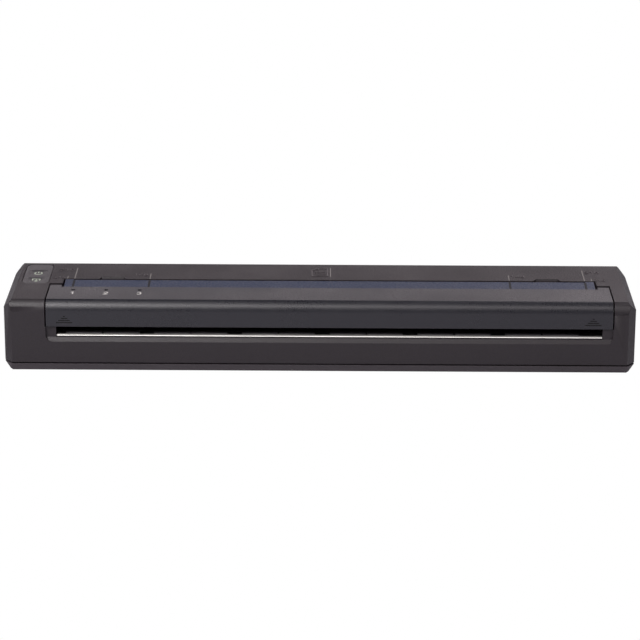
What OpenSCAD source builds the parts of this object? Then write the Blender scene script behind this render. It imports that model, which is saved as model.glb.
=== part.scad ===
// Portable thermal page printer with a hinged release cover.
// Millimetres. X runs along the machine, the paper leaves towards -Y and +Z is up.
// The origin is at the bottom centre of the outline, under the rubber feet.

/* [Overall] */
// Length of the machine, end to end
body_w = 255; // [246:1:306]
// Depth, front face to rear face
body_d = 55; // [54:1:66]
// Height over the rubber feet
body_h = 30; // [29.5:0.5:36]

/* [Case] */
// Wall of the moulded case
wall = 1.8; // [1.4:0.1:2.2]
// How far the rubber feet stand proud
foot_h = 0.4; // [0.3:0.1:0.8]
// Height of the seam between case and bottom cover
seam_z = 3.7; // [3.5:0.1:4.4]
// Width of the seam groove
seam_gap = 0.6; // [0.4:0.1:0.8]
// Width of the chamfer along the top of each end
end_chamfer_x = 3.4; // [2.4:0.1:4.2]
// Height of the chamfer along the top of each end
end_chamfer_z = 3.7; // [2.6:0.1:4.5]
// Radius of the front top edge
front_r = 6; // [5.6:0.1:7]
// Height over which the front top edge is rounded
front_drop = 5; // [4.4:0.1:5.4]
// Bevel of the rear top edge
rear_bevel = 3; // [2:0.1:3.6]
// Width of the upright front corner chamfers
corner_x = 3.2; // [2:0.1:4]
// Depth of the upright front corner chamfers
corner_y = 4; // [2.5:0.1:5]
// Radius of the upright rear corners
rear_corner_r = 8; // [6:0.5:9]
// Inset of the underside at the ends
base_inset_x = 3.3; // [2:0.1:4]
// Inset of the underside at the front and the rear
base_inset_y = 1.3; // [1:0.1:2]
// Diameter of the case screw bosses
boss_d = 5; // [4.4:0.1:5.4]

/* [Paper path] */
// How far the paper's centre line lies to the right of the middle
path_x = 3.87; // [3:0.1:4.5]
// Length of the platen's rubber sleeve
platen_len = 219; // [200:1:220]
// Radius of the platen's rubber sleeve
platen_r = 5; // [4.4:0.1:5.2]
// Radius of the platen's steel shaft
platen_shaft_r = 2.5; // [2:0.1:3]
// Distance of the platen's axis behind the front face
platen_y = 21; // [20:0.1:22]
// Height of the platen's axis
platen_z = 21.3; // [20.8:0.1:21.5]
// Width of the front exit slot
exit_w = 220.4; // [210:0.2:222]
// Lower edge of the exit slot
exit_z = 14.5; // [14.2:0.1:14.8]
// Height of the exit slot
exit_h = 4.5; // [4:0.1:4.8]
// Height of the sloped lip under the exit slot
lip_h = 1.7; // [1.4:0.1:2.2]
// Depth of the recess around the exit slot
lip_d = 1.3; // [0.8:0.1:1.5]
// Radius of the recess's lower corners
recess_r = 2.8; // [2:0.1:3.4]
// Width of the paper entry gap behind the guide strip
entry_gap = 1; // [0.8:0.1:1.4]

/* [Release cover] */
// Width of the release cover
cover_w = 228.4; // [224:0.2:229]
// Thickness of the cover's skin
cover_t = 1.6; // [1.2:0.1:1.8]
// Seam around the cover
cover_gap = 0.5; // [0.4:0.05:0.8]
// Width of the ears at the cover's rear corners
ear_w = 4.8; // [4:0.1:5.2]
// Radius of the hinge knuckles in the ears
knuckle_r = 1.3; // [1.1:0.1:1.5]
// Radius of the hinge pins
hinge_pin_r = 0.6; // [0.5:0.05:0.7]
// Length of one hinge pin
hinge_pin_len = 6; // [5:0.5:7]

/* [Guide strip] */
// Width of the strip behind the cover, front to back
strip_d = 9.5; // [8.8:0.1:9.8]
// How far the strip's front edge lies under the case top
strip_drop = 0.5; // [0.5:0.05:0.8]
// How far the strip's top rises towards the rear
strip_rise = 0.35; // [0.2:0.05:0.4]

/* [Print head] */
// Angle under the platen where the head touches it
nip_angle = 60; // [56:1:64]
// Thickness of the ceramic strip
ceramic_t = 1; // [0.6:0.1:1.4]
// Thickness of the head's heat sink
sink_t = 3; // [2.5:0.1:3.4]
// Length of the heat sink
sink_len = 221; // [210:1:222]
// Radius of the head's pivot shaft
head_shaft_r = 1.5; // [1.2:0.1:1.7]
// Outer radius of the head springs
spring_r = 2.2; // [1.8:0.1:2.4]
// Wire radius of the head springs
spring_wire_r = 0.3; // [0.2:0.05:0.35]
// Curls in each head spring
spring_turns = 4; // [3:1:5]
// Gap between the head and the platen at rest
nip_gap = 0.03; // [0.02:0.01:0.06]

/* [Drive] */
// Module of the drive gears
gear_m = 0.4; // [0.36:0.02:0.42]
// Teeth on the platen gear
platen_teeth = 30; // [28:1:31]
// Teeth on the idler gear
idler_teeth = 38; // [34:1:40]
// Teeth on the motor pinion
pinion_teeth = 12; // [11:1:14]
// Face width of the gears
gear_w = 3.2; // [2.5:0.1:3.6]
// Diameter of the stepper motor
motor_d = 15; // [13:0.5:16]
// Length of the stepper motor
motor_len = 13; // [10:0.5:16]
// Thickness of the steel side frames
frame_t = 1.5; // [1.2:0.1:1.8]

/* [Buttons] */
// Width of the button panel
panel_w = 11.3; // [10.6:0.1:11.5]
// Length of the button panel
panel_l = 26.7; // [25:0.1:27]
// Radius of the button panel's corners
panel_r = 3; // [2:0.1:3.4]
// Width of a button cap
cap_w = 7; // [6:0.1:7.4]
// Travel of a button
button_travel = 0.4; // [0.3:0.05:0.6]

/* [Battery] */
// Length of the battery pack
battery_l = 176; // [160:1:178]
// Depth of the battery pack
battery_d = 14.6; // [12:0.1:15]
// Height of the battery pack
battery_h = 17; // [14:0.5:17.5]
// Height of the battery cover
door_h = 18.5; // [17.5:0.1:19]
// Radius of the battery cover's rounded hinge edge
door_r = 1.2; // [1.1:0.05:1.3]

/* [Hidden] */

// Colours
case_black = [0.23, 0.21, 0.22];
cover_grey = [0.33, 0.32, 0.33];
strip_blue = [0.27, 0.29, 0.42];
steel = [0.72, 0.73, 0.74];
rubber_black = [0.08, 0.08, 0.09];
board_green = [0.10, 0.32, 0.20];
gear_white = [0.88, 0.87, 0.82];

// Small amounts shared by several pieces
eps = 0.05;         // cutters reach this far past the face they cut
seat = 0.3;         // clearance between a piece and the one that carries it
slip = 0.03;        // radial clearance of a shaft in its bore
press = 0.02;       // radial clearance of a pressed pin

// Outline of the body
hx = body_w / 2;
hy = body_d / 2;
case_z0 = seam_z + seam_gap / 2;
base_z1 = seam_z - seam_gap / 2;
ceiling = body_h - wall;
floor_t = 1.8;
floor_z = foot_h + floor_t;

// Release cover and its opening
cover_x0 = path_x - cover_w / 2;
cover_x1 = path_x + cover_w / 2;
open_x0 = cover_x0 - cover_gap;
open_x1 = cover_x1 + cover_gap;
platen_cy = -hy + platen_y;
ear_rear_y = platen_cy + 1.1;
hinge_y = ear_rear_y - knuckle_r;
hinge_z = body_h - 1.5;
ear_gap = 2;
open_y1 = ear_rear_y + ear_gap;
skin_rear_y = hinge_y - 1.2;
cover_front_z0 = exit_z + exit_h + 0.1;

// Guide strip
strip_w = cover_w - 2 * ear_w - 1.6;
strip_front_y = skin_rear_y + 0.4;
strip_rear_y = strip_front_y + strip_d;
strip_top_z = body_h - strip_drop;
strip_rear_z = strip_top_z + strip_rise;
entry_rear_y = strip_rear_y + entry_gap;
chute_wall_t = 1.5;
chute_wall_z0 = 22.3;
strip_t = 1.4;
strip_skirt_z0 = 21.8;
strip_skirt_t = 1.2;
chute_x0 = open_x0 + ear_w + cover_gap;
chute_x1 = open_x1 - ear_w - cover_gap;

// Front slot and its recess
exit_x0 = path_x - exit_w / 2;
exit_x1 = path_x + exit_w / 2;
recess_margin = 4.15;
sensor_x = path_x + 36.13;
tongue_h = 1.2;

// Side frames stand just outside the cover's opening
frame_l_x = open_x0 - 0.7 - frame_t;
frame_r_x = open_x1 + 0.5;
frame_y0 = -hy + 5.5;
frame_y1 = platen_cy + 16;
frame_z1 = ceiling - 1.6;

// Print head, set out from the nip in a frame that is turned to the paper
head_tilt = 90 - nip_angle;
nip_y = platen_cy + (platen_r + nip_gap) * cos(nip_angle);
nip_z = platen_z - (platen_r + nip_gap) * sin(nip_angle);
sink_front = -4.5;
sink_rear = 10;
pivot_s = 9.6;
pivot_n = -4.4;
pivot_y = nip_y + pivot_s * cos(head_tilt) - pivot_n * sin(head_tilt);
pivot_z = nip_z + pivot_s * sin(head_tilt) + pivot_n * cos(head_tilt);
pivot_ear_r = 2.7;
ear_inset = 12;
spring_y = nip_y + 1.6;
spring_top_z = 11.9;
beam_z0 = 5.2;
beam_t = 1.2;
beam_z1 = beam_z0 + beam_t;
spring_x = [for (d = [-81.87, -29.87, 30.13, 82.13]) path_x + d];

// Gear train, from the platen down to the motor
platen_pitch_r = gear_m * platen_teeth / 2;
idler_pitch_r = gear_m * idler_teeth / 2;
pinion_pitch_r = gear_m * pinion_teeth / 2;
idler_fall = 35;
idler_y = platen_cy + (platen_pitch_r + idler_pitch_r) * cos(idler_fall);
idler_z = platen_z - (platen_pitch_r + idler_pitch_r) * sin(idler_fall);
motor_y = idler_y + idler_pitch_r + pinion_pitch_r;
motor_z = idler_z;
gear_x = frame_l_x - 1.4 - gear_w;

// Main board lies on posts in front of the beam
board_z0 = 5.6;
board_t = 1.2;
board_z1 = board_z0 + board_t;
board_y0 = -hy + 7.4;
board_y1 = platen_cy - 1.6;
port_board_x1 = hx - 10.3;
port_board_x0 = port_board_x1 - 20.2;
port_board_y1 = hy - wall - 0.8;
port_board_y0 = port_board_y1 - 15;
usb_x = port_board_x0 + 4.8;
usb_w = 8.9;
usb_h = 3.3;
jack_x = port_board_x0 + 14.8;
jack_bore_r = 2.8;
jack_w = 9;
jack_h = 10;
jack_z = board_z1 + jack_h / 2;

// Battery bay along the rear wall
battery_x0 = frame_l_x + frame_t + motor_len + 13.33;
battery_x1 = battery_x0 + battery_l;
battery_y1 = hy - wall - 1.2;
battery_y0 = battery_y1 - battery_d;
battery_z0 = floor_z + 3.7;
door_x0 = battery_x0 - 2.4;
door_x1 = battery_x1 + 2.4;
door_axis_y = hy - door_r;
door_axis_z = battery_z0 + 1.3;
door_gap = 0.35;
door_pin_r = 0.5;

// Button panel
panel_x1 = open_x0 - 0.45;
panel_x0 = panel_x1 - panel_w;
panel_y0 = open_y1 - 0.5;
panel_y1 = panel_y0 + panel_l;
panel_recess = 0.6;
panel_gap = 0.25;
cap_x = (panel_x0 + panel_x1) / 2;
feed_y = panel_y0 + 5.5;
power_y = panel_y0 + 15.3;
feed_l = 5.6;
power_l = 7;
cap_gap = 0.12;
key_board_z1 = body_h - 4.6;
key_board_t = 1;
key_board_x0 = panel_x0 - 0.3;
key_board_x1 = frame_l_x - 0.5;
key_post_y = [(feed_y + feed_l / 2 + power_y - power_l / 2) / 2, power_y + power_l / 2 + 2];
switch_h = 1.5;
cap_play = 0.8;      // the case window is wider than the cap by this on each side

// Screw places in the floor: three behind the front wall, two at the rear corners
front_screw_y = -hy + wall + boss_d / 2 + 0.1;
rear_screw_y = hy - wall - boss_d / 2 - 1.2;
front_screws = [for (d = [-98.87, 1.13, 100.13]) path_x + d];
rear_screws = [-hx + wall + boss_d / 2 + 4, hx - wall - boss_d / 2 - 3];
screw_hole_r = 0.9;
screw_head_r = 1.7;
screw_head_z1 = 2.4;

// Rubber feet
foot_xs = [-hx + 14.5, hx - 14.5];
foot_ys = [-hy + 8, hy - 12];
foot_w = 12;
foot_d = 6;
foot_sink = 0.5;

// Status lights in the release cover
led_y = platen_cy - 5.8;
led_xs = [for (i = [0:2]) path_x - 104.27 + i * 13.55];
led_r = 0.75;

// Small parts of the frame and the drive
bushing_r = 4;
peg_y = -hy + 10.5;
tab_screw_z = 10;
tab_screw_ys = [platen_cy + 7.5, platen_cy + 12];
stud_r = 1.2;
motor_shaft_r = 0.9;
motor_screw_r = 5.2;
board_x0 = frame_l_x + frame_t + 5;
board_x1 = frame_r_x - 6;
board_posts = [for (d = [-93.87, -33.87, 36.13, 84.13]) path_x + d];

// ---- Outlines ----

// Side profile of the case, drawn in the YZ plane
module side_profile(inset, z0, z1) {
    y0 = -hy + inset;
    y1 = hy - inset;
    top = body_h - inset;
    r = front_r;
    intersection() {
        union() {
            translate([y0 + r, z0 - 1]) square([y1 - y0 - r, top - z0 + 1]);
            translate([y0, z0 - 1]) square([r + 1, top - front_drop - z0 + 1]);
            translate([y0 + r, top - front_drop]) circle(r, $fn = 72);
        }
        polygon([[y0 - 1, z0], [y1, z0], [y1, top - rear_bevel],
            [y1 - rear_bevel, top], [y0 - 1, top]]);
        translate([y0 - 1, z0]) square([y1 - y0 + 2, z1 - z0]);
    }
}

// Front profile of the case, drawn in the XZ plane
module front_profile(inset, z0, z1) {
    x1 = hx - inset;
    top = body_h - inset;
    polygon([[-x1, z0], [x1, z0], [x1, top - end_chamfer_z],
        [x1 - end_chamfer_x, top], [x1 - end_chamfer_x, z1], [-x1 + end_chamfer_x, z1],
        [-x1 + end_chamfer_x, top], [-x1, top - end_chamfer_z]]);
}

// Plan of the case with chamfered front corners and round rear corners
module plan(inset) {
    x1 = hx - inset;
    y0 = -hy + inset;
    y1 = hy - inset;
    r = rear_corner_r - inset / 2;
    union() {
        polygon([[-x1, y0 + corner_y], [-x1 + corner_x, y0], [x1 - corner_x, y0],
            [x1, y0 + corner_y], [x1, y1 - r], [-x1, y1 - r]]);
        translate([-x1 + r, 0]) square([2 * x1 - 2 * r, y1]);
        for (s = [-1, 1]) translate([s * (x1 - r), y1 - r]) circle(r, $fn = 48);
    }
}

// Solid case shape between two heights, drawn in by an inset
module case_form(inset, z0, z1) {
    intersection() {
        rotate([90, 0, 90]) translate([0, 0, -hx - 1])
            linear_extrude(body_w + 2) side_profile(inset, z0, z1);
        rotate([90, 0, 0]) translate([0, 0, -hy - 1])
            linear_extrude(body_d + 2) front_profile(inset, z0, body_h - inset);
        translate([0, 0, z0]) linear_extrude(z1 - z0) plan(inset);
    }
}

// Box between two corners
module block(a, b) {
    translate(a) cube(b - a);
}

// Profile in the YZ plane, carried along X from x0 to x1
module along_x(x0, x1) {
    translate([x0, 0, 0]) rotate([90, 0, 90]) linear_extrude(x1 - x0) children();
}

// Round bar along X
module bar_x(x0, x1, y, z, r) {
    translate([x0, y, z]) rotate([0, 90, 0]) cylinder(h = x1 - x0, r = r, $fn = 48);
}

// Outline of the recess around the exit slot, drawn in the XZ plane
module recess_outline() {
    z1 = cover_front_z0 + eps;
    z0 = exit_z - lip_h;
    x0 = exit_x0 - recess_margin;
    x1 = exit_x1 + recess_margin;
    union() {
        translate([x0, z0 + recess_r]) square([x1 - x0, z1 - z0 - recess_r]);
        translate([x0 + recess_r, z0]) square([x1 - x0 - 2 * recess_r, recess_r + eps]);
        for (x = [x0 + recess_r, x1 - recess_r]) translate([x, z0 + recess_r])
            circle(recess_r, $fn = 32);
    }
}

// Recess around the slot, with its lip sloping up to the slot
module recess_cut() {
    intersection() {
        rotate([90, 0, 0]) translate([0, 0, hy - lip_d])
            linear_extrude(lip_d + 1) recess_outline();
        along_x(-hx, hx) polygon([[-hy - 1, exit_z - lip_h - lip_h / lip_d],
            [-hy + lip_d + eps, exit_z], [-hy + lip_d + eps, cover_front_z0 + 1],
            [-hy - 1, cover_front_z0 + 1]]);
    }
}

// Panel or cap outline with round corners
module round_plate(x0, x1, y0, y1, r) {
    union() {
        translate([x0 + r, y0]) square([x1 - x0 - 2 * r, y1 - y0]);
        translate([x0, y0 + r]) square([x1 - x0, y1 - y0 - 2 * r]);
        for (x = [x0 + r, x1 - r], y = [y0 + r, y1 - r]) translate([x, y]) circle(r, $fn = 32);
    }
}

// Outline of a button cap, grown by a margin
module cap_outline(y, l, margin) {
    round_plate(cap_x - cap_w / 2 - margin, cap_x + cap_w / 2 + margin,
        y - l / 2 - margin, y + l / 2 + margin, 1.6 + margin);
}

// ---- Case ----

// Block beside the opening that holds one hinge pin of the release cover
module hinge_boss(x, side, z0) {
    block([min(x, x + side * 3.4), hinge_y - 2.2, z0],
        [max(x, x + side * 3.4), hinge_y + 2, ceiling + 0.2]);
}

// Block beside the rear opening that holds one pin of the battery cover
module door_boss(x, side) {
    block([min(x, x + side * 2.6), hy - wall - 0.9, door_axis_z - 1.4],
        [max(x, x + side * 2.6), hy - wall + 0.2, door_axis_z + 1.4]);
}

// Corner ledge under one end of the guide strip
module strip_ledge(x, side) {
    z1 = strip_top_z - strip_t;
    y0 = open_y1 + 0.2;
    y1 = entry_rear_y + 0.2;
    block([min(x - side * 1.2, x + side * 3), y0, z1 - 1.4],
        [max(x - side * 1.2, x + side * 3), y1, z1]);
    block([min(x - side * 1.2, x), y0, z1 - 1.4], [max(x - side * 1.2, x), y1, ceiling + 0.2]);
}

module slot_backing() {
    y0 = -hy + lip_d + 0.2;
    y1 = -hy + wall + 1.2;
    x0 = exit_x0 - recess_margin - 0.6;
    x1 = exit_x1 + recess_margin + 0.6;
    block([x0, y0, exit_z - lip_h - 1.6], [x1, y1, exit_z]);
    block([x0, y0, exit_z - 1], [exit_x0, y1, cover_front_z0 - 0.3]);
    block([exit_x1, y0, exit_z - 1], [x1, y1, cover_front_z0 - 0.3]);
}

// Holes of the sockets in the rear wall
module port_cuts() {
    translate([usb_x, hy + 1, board_z1 + usb_h / 2]) rotate([90, 0, 0]) linear_extrude(wall + 2)
        round_plate(-usb_w / 2 - 0.4, usb_w / 2 + 0.4, -usb_h / 2 - 0.35, usb_h / 2 + 0.35, 1.7);
    translate([jack_x, hy + 1, jack_z]) rotate([90, 0, 0])
        cylinder(h = wall + 2, r = jack_bore_r + 0.9, $fn = 48);
}

module battery_opening() {
    z1 = door_axis_z - door_r + door_h + 2 * door_gap;
    block([door_x0 - door_gap, hy - wall - 1, door_axis_z - door_r - door_gap],
        [door_x1 + door_gap, hy + 1, z1]);
}

module screw_boss(x, y, z0, z1) {
    difference() {
        translate([x, y, z0]) cylinder(h = z1 - z0, r = boss_d / 2, $fn = 32);
        translate([x, y, z0 - 1]) cylinder(h = 9, r = screw_hole_r, $fn = 32);
    }
}

// Two shallow notches behind the paper gap, where a thumb gets hold of the page
module thumb_notches() {
    notch_x = 89.5;
    notch_w = 10.9;
    notch_d = 2.5;
    for (s = [-1, 1]) translate([path_x + s * notch_x, entry_rear_y - eps, body_h - 1])
        linear_extrude(2) polygon([[-notch_w / 2, 0], [notch_w / 2, 0],
            [notch_w / 2 - 0.8, notch_d], [-notch_w / 2 + 0.8, notch_d]]);
}

// Hollow case with all its openings
module case_shell() {
    difference() {
        case_form(0, case_z0, body_h);
        case_form(wall, case_z0 - 1, ceiling);
        // opening for the release cover, down the front to the slot
        block([open_x0, -hy - 1, cover_front_z0 - 0.05], [open_x1, open_y1, body_h + 1]);
        // opening for the guide strip and the paper
        block([chute_x0, open_y1 - 1, ceiling - 1], [chute_x1, entry_rear_y, body_h + 1]);
        // exit slot and the recess around it
        block([exit_x0, -hy - 1, exit_z], [exit_x1, -hy + wall + 1, cover_front_z0]);
        recess_cut();
        // seat of the button panel, with windows for the caps
        translate([0, 0, body_h - panel_recess]) linear_extrude(1)
            round_plate(panel_x0, panel_x1, panel_y0, panel_y1, panel_r);
        for (c = [[feed_y, feed_l], [power_y, power_l]])
            translate([0, 0, ceiling - 1]) linear_extrude(wall + 1)
                cap_outline(c[0], c[1], cap_play);
        thumb_notches();
        battery_opening();
        port_cuts();
    }
}

// Rear wall of the paper chute, with the sensor's window
module chute_wall() {
    difference() {
        block([chute_x0, entry_rear_y, chute_wall_z0],
            [chute_x1, entry_rear_y + chute_wall_t, ceiling + 0.2]);
        block([sensor_x - 1.5, entry_rear_y - 1, ceiling - 4],
            [sensor_x + 1.5, entry_rear_y + chute_wall_t + 1, ceiling - 2]);
    }
}

// Bosses and ribs that take the screws from below
module case_bosses() {
    slot_boss_z1 = exit_z - 2.6;
    rib_t = 2;
    for (x = front_screws) {
        screw_boss(x, front_screw_y, case_z0, slot_boss_z1);
        block([x - rib_t / 2, -hy + wall - 0.3, case_z0 + tongue_h + 0.2],
            [x + rib_t / 2, front_screw_y - 1.4, slot_boss_z1]);
    }
    for (x = rear_screws) screw_boss(x, rear_screw_y, case_z0, ceiling + 0.2);
    // posts that hold the button board
    for (y = key_post_y) translate([cap_x, y, key_board_z1])
        cylinder(h = ceiling + 0.2 - key_board_z1, r = 1, $fn = 24);
}

module upper_case() color(case_black) {
    pin_boss_z0 = frame_z1 + seat;
    bore_reach = 4;
    difference() {
        union() {
            case_shell();
            chute_wall();
            case_bosses();
            hinge_boss(open_x0, -1, pin_boss_z0);
            hinge_boss(open_x1, 1, pin_boss_z0);
            door_boss(door_x0 - door_gap, -1);
            door_boss(door_x1 + door_gap, 1);
            // ledges that carry the ends of the guide strip
            strip_ledge(chute_x0, 1);
            strip_ledge(chute_x1, -1);
            // thicker wall behind the recess, below and beside the slot
            slot_backing();
        }
        for (x = [open_x0, open_x1])
            bar_x(x - bore_reach, x + bore_reach, hinge_y, hinge_z, hinge_pin_r + press);
        for (x = [door_x0, door_x1])
            bar_x(x - bore_reach, x + bore_reach, door_axis_y, door_axis_z, door_pin_r + press);
    }
}

module bottom_cover() color(case_black) {
    tongue_t = 1;
    tongue_in = wall + 0.15;
    screws = concat([for (x = front_screws) [x, front_screw_y]],
        [for (x = rear_screws) [x, rear_screw_y]]);
    difference() {
        union() {
            difference() {
                base_form();
                translate([0, 0, floor_z]) linear_extrude(5) plan(tongue_in + tongue_t);
            }
            // tongue that stands inside the case wall behind the seam groove
            difference() {
                translate([0, 0, base_z1 - 0.8]) linear_extrude(0.8 + seam_gap + tongue_h)
                    plan(tongue_in);
                translate([0, 0, floor_z]) linear_extrude(9) plan(tongue_in + tongue_t);
                for (p = screws) translate([p[0], p[1], base_z1])
                    cylinder(h = 5, r = boss_d / 2 + 0.25, $fn = 32);
                block([door_x0 - 3.6, hy - wall - 1.4, base_z1 + seam_gap + 0.6],
                    [door_x1 + 3.6, hy, base_z1 + 4]);
            }
            for (p = screws) translate([p[0], p[1], floor_z - 0.2])
                cylinder(h = case_z0 - floor_z + 0.2, r = boss_d / 2, $fn = 32);
            // ribs under the battery
            for (i = [0:4]) block([battery_x0 + 6 + i * (battery_l - 14) / 4, battery_y0, floor_z - 0.2],
                [battery_x0 + 8 + i * (battery_l - 14) / 4, battery_y1, battery_z0]);
            // posts under the boards
            for (x = board_posts, y = [board_y0 + 2.4, board_y1 - 2.4])
                board_post(x, y, board_z0);
            for (x = [port_board_x0 + 2, port_board_x1 - 2]) board_post(x, port_board_y0 + 2, board_z0);
            board_post(battery_x1 + 2, (battery_y0 + battery_y1) / 2, board_z0);
        }
        for (p = screws) translate([p[0], p[1], 0]) {
            cylinder(h = 9, r = screw_hole_r + 0.25, $fn = 32);
            cylinder(h = screw_head_z1, r = screw_head_r + 0.3, $fn = 32);
        }
        // seats of the rubber feet
        for (x = foot_xs, y = foot_ys) translate([0, 0, -1]) linear_extrude(1 + foot_h + foot_sink)
            round_plate(x - foot_w / 2, x + foot_w / 2, y - foot_d / 2, y + foot_d / 2, 1.8);
    }
}

// Bottom tray with its chamfered rim
module base_form() {
    intersection() {
        rotate([90, 0, 90]) translate([0, 0, -hx - 1]) linear_extrude(body_w + 2)
            polygon([[-hy + base_inset_y, foot_h], [hy - base_inset_y, foot_h],
                [hy, base_z1], [-hy, base_z1]]);
        rotate([90, 0, 0]) translate([0, 0, -hy - 1]) linear_extrude(body_d + 2)
            polygon([[-hx + base_inset_x, foot_h], [hx - base_inset_x, foot_h],
                [hx, base_z1], [-hx, base_z1]]);
        translate([0, 0, foot_h]) linear_extrude(base_z1 - foot_h) plan(0);
    }
}

module board_post(x, y, z1) {
    translate([x, y, floor_z - 0.2]) cylinder(h = z1 - floor_z + 0.2, r = 1.6, $fn = 24);
}

module rubber_feet() color(rubber_black) {
    for (x = foot_xs, y = foot_ys) linear_extrude(foot_h + foot_sink)
        round_plate(x - foot_w / 2 + 0.1, x + foot_w / 2 - 0.1,
            y - foot_d / 2 + 0.1, y + foot_d / 2 - 0.1, 1.7);
}

module case_screws() color(steel) {
    screws = concat([for (x = front_screws) [x, front_screw_y]],
        [for (x = rear_screws) [x, rear_screw_y]]);
    for (p = screws) translate([p[0], p[1], 0]) difference() {
        union() {
            translate([0, 0, screw_head_z1 - 1.1]) cylinder(h = 1.1, r = screw_head_r, $fn = 32);
            translate([0, 0, screw_head_z1 - 0.2])
                cylinder(h = case_z0 + 4.4 - screw_head_z1, r = screw_hole_r - 0.05, $fn = 24);
        }
        for (a = [0, 90]) rotate(a) translate([-1, -0.25, 0]) cube([2, 0.5, screw_head_z1 - 0.6]);
    }
}

// ---- Release cover ----

module release_cover() color(cover_grey) {
    bump = cover_gap / 2;
    difference() {
        union() {
            // skin over the top and down the front
            along_x(cover_x0, cover_x1) difference() {
                intersection() {
                    side_profile(0, cover_front_z0, body_h);
                    translate([-hy - 1, 0]) square([skin_rear_y + hy + 1, body_h + 1]);
                }
                intersection() {
                    side_profile(cover_t, cover_front_z0 - 1, body_h);
                    translate([-hy, 0]) square([body_d, body_h]);
                }
            }
            for (x = [cover_x0, cover_x1 - ear_w]) along_x(x, x + ear_w) ear_outline();
            for (x = [cover_x0, cover_x1 - 1.4]) along_x(x, x + 1.4) end_wall_outline();
            // stiffening ribs in the front corner
            for (i = [1:6]) along_x(cover_x0 + i * cover_w / 7 - 0.5, cover_x0 + i * cover_w / 7 + 0.5)
                polygon([[-hy + 1, body_h - 7.5], [-hy + cover_t + 1.2, body_h - 7.5],
                    [-hy + 6.5, body_h - 2.8], [-hy + 6.5, body_h - 1.2], [-hy + 3, body_h - 1.2],
                    [-hy + 1, body_h - 4]]);
            // small bumps that hold the cover shut
            for (x = [cover_x0 - bump, cover_x1 - 1])
                bar_x(x, x + 1 + bump, -hy + 4, cover_front_z0 + 3, 0.6);
        }
        for (x = [cover_x0, cover_x1]) bar_x(x - 4, x + 4, hinge_y, hinge_z, hinge_pin_r + slip);
        for (x = led_xs) translate([x, led_y, body_h - 4]) cylinder(h = 5, r = led_r + 0.1, $fn = 32);
        for (x = [exit_x0 + 3.4, exit_x1 - 3.9]) arrow_grooves(x);
    }
}

module ear_outline() {
    union() {
        translate([skin_rear_y - 0.5, hinge_z]) square([ear_rear_y - skin_rear_y + 0.5, body_h - hinge_z]);
        translate([skin_rear_y - 0.5, body_h - cover_t])
            square([hinge_y - skin_rear_y + 0.5, cover_t]);
        translate([hinge_y, hinge_z]) circle(knuckle_r, $fn = 48);
    }
}

module end_wall_outline() {
    polygon([[-hy + 0.8, cover_front_z0 + 0.4], [-hy + 4.6, cover_front_z0 + 0.4],
        [-hy + 9, body_h - 5], [-hy + 15, body_h - 3.4], [-hy + 15, body_h - 0.8],
        [-hy + 3.4, body_h - 0.8], [-hy + 0.8, body_h - 3.6]]);
}

// Four short grooves that stand in a triangle and show where to lift
module arrow_grooves(x) {
    for (i = [0:3]) {
        w = 6.5 - i * 1.9;
        block([x - w / 2, -hy - 1, cover_front_z0 + 1.6 + i * 0.88],
            [x + w / 2, -hy + 0.3, cover_front_z0 + 1.9 + i * 0.88]);
    }
}

module light_pipes() color("gainsboro") {
    for (x = led_xs) translate([x, led_y, 0]) {
        translate([0, 0, ceiling - 1.4]) cylinder(h = wall + 1.3, r = led_r, $fn = 32);
        translate([0, 0, ceiling - 1.4]) cylinder(h = 1, r = led_r + 0.7, $fn = 32);
    }
}

module led_board() color(board_green) {
    z1 = ceiling - 2.3;
    union() {
        block([led_xs[0] - 4, led_y - 2, z1 - 0.8], [led_xs[2] + 4, led_y + 2, z1]);
        for (x = led_xs) block([x - 0.8, led_y - 0.6, z1 - 0.1], [x + 0.8, led_y + 0.6, z1 + 0.7]);
        // side arms that reach up to the skin
        for (x = [led_xs[0] - 4, led_xs[2] + 3])
            block([x, led_y - 2, z1 - 0.8], [x + 1, led_y + 2, body_h - cover_t - 0.1]);
    }
}

module hinge_pins() color(steel) {
    bar_x(cover_x0 + 3 - hinge_pin_len, cover_x0 + 3, hinge_y, hinge_z, hinge_pin_r);
    bar_x(cover_x1 - 3, cover_x1 - 3 + hinge_pin_len, hinge_y, hinge_z, hinge_pin_r);
}

// ---- Paper path ----

module paper_guide() color(strip_blue) {
    x0 = path_x - strip_w / 2;
    x1 = path_x + strip_w / 2;
    z0 = strip_top_z - strip_t;
    end_w = 3.4;
    union() {
        along_x(x0, x1) polygon([[strip_front_y, z0], [strip_front_y, strip_top_z - 0.6],
            [strip_front_y + 0.6, strip_top_z], [strip_rear_y - 0.3, strip_rear_z],
            [strip_rear_y, strip_rear_z - 0.3], [strip_rear_y, z0]]);
        // skirt that leads the paper down to the platen
        block([x0 + 4, strip_rear_y - strip_skirt_t, strip_skirt_z0],
            [x1 - 4, strip_rear_y, z0 + 0.2]);
        // thicker ends
        for (x = [x0, x1 - end_w]) block([x, strip_rear_y - 0.4, z0],
            [x + end_w, entry_rear_y - seat, strip_rear_z]);
    }
}

module tear_bar() color(steel) {
    y0 = -hy + 1.5;
    z0 = exit_z + 0.4;
    along_x(exit_x0 + 0.2, exit_x1 - 0.2) polygon([[y0, z0], [y0 + 0.2, z0 + 0.3],
        [y0 + 1.6, z0 + 0.4], [y0 + 1.6, exit_z], [y0 + 1.1, exit_z], [y0 + 1.1, z0]]);
}

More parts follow.
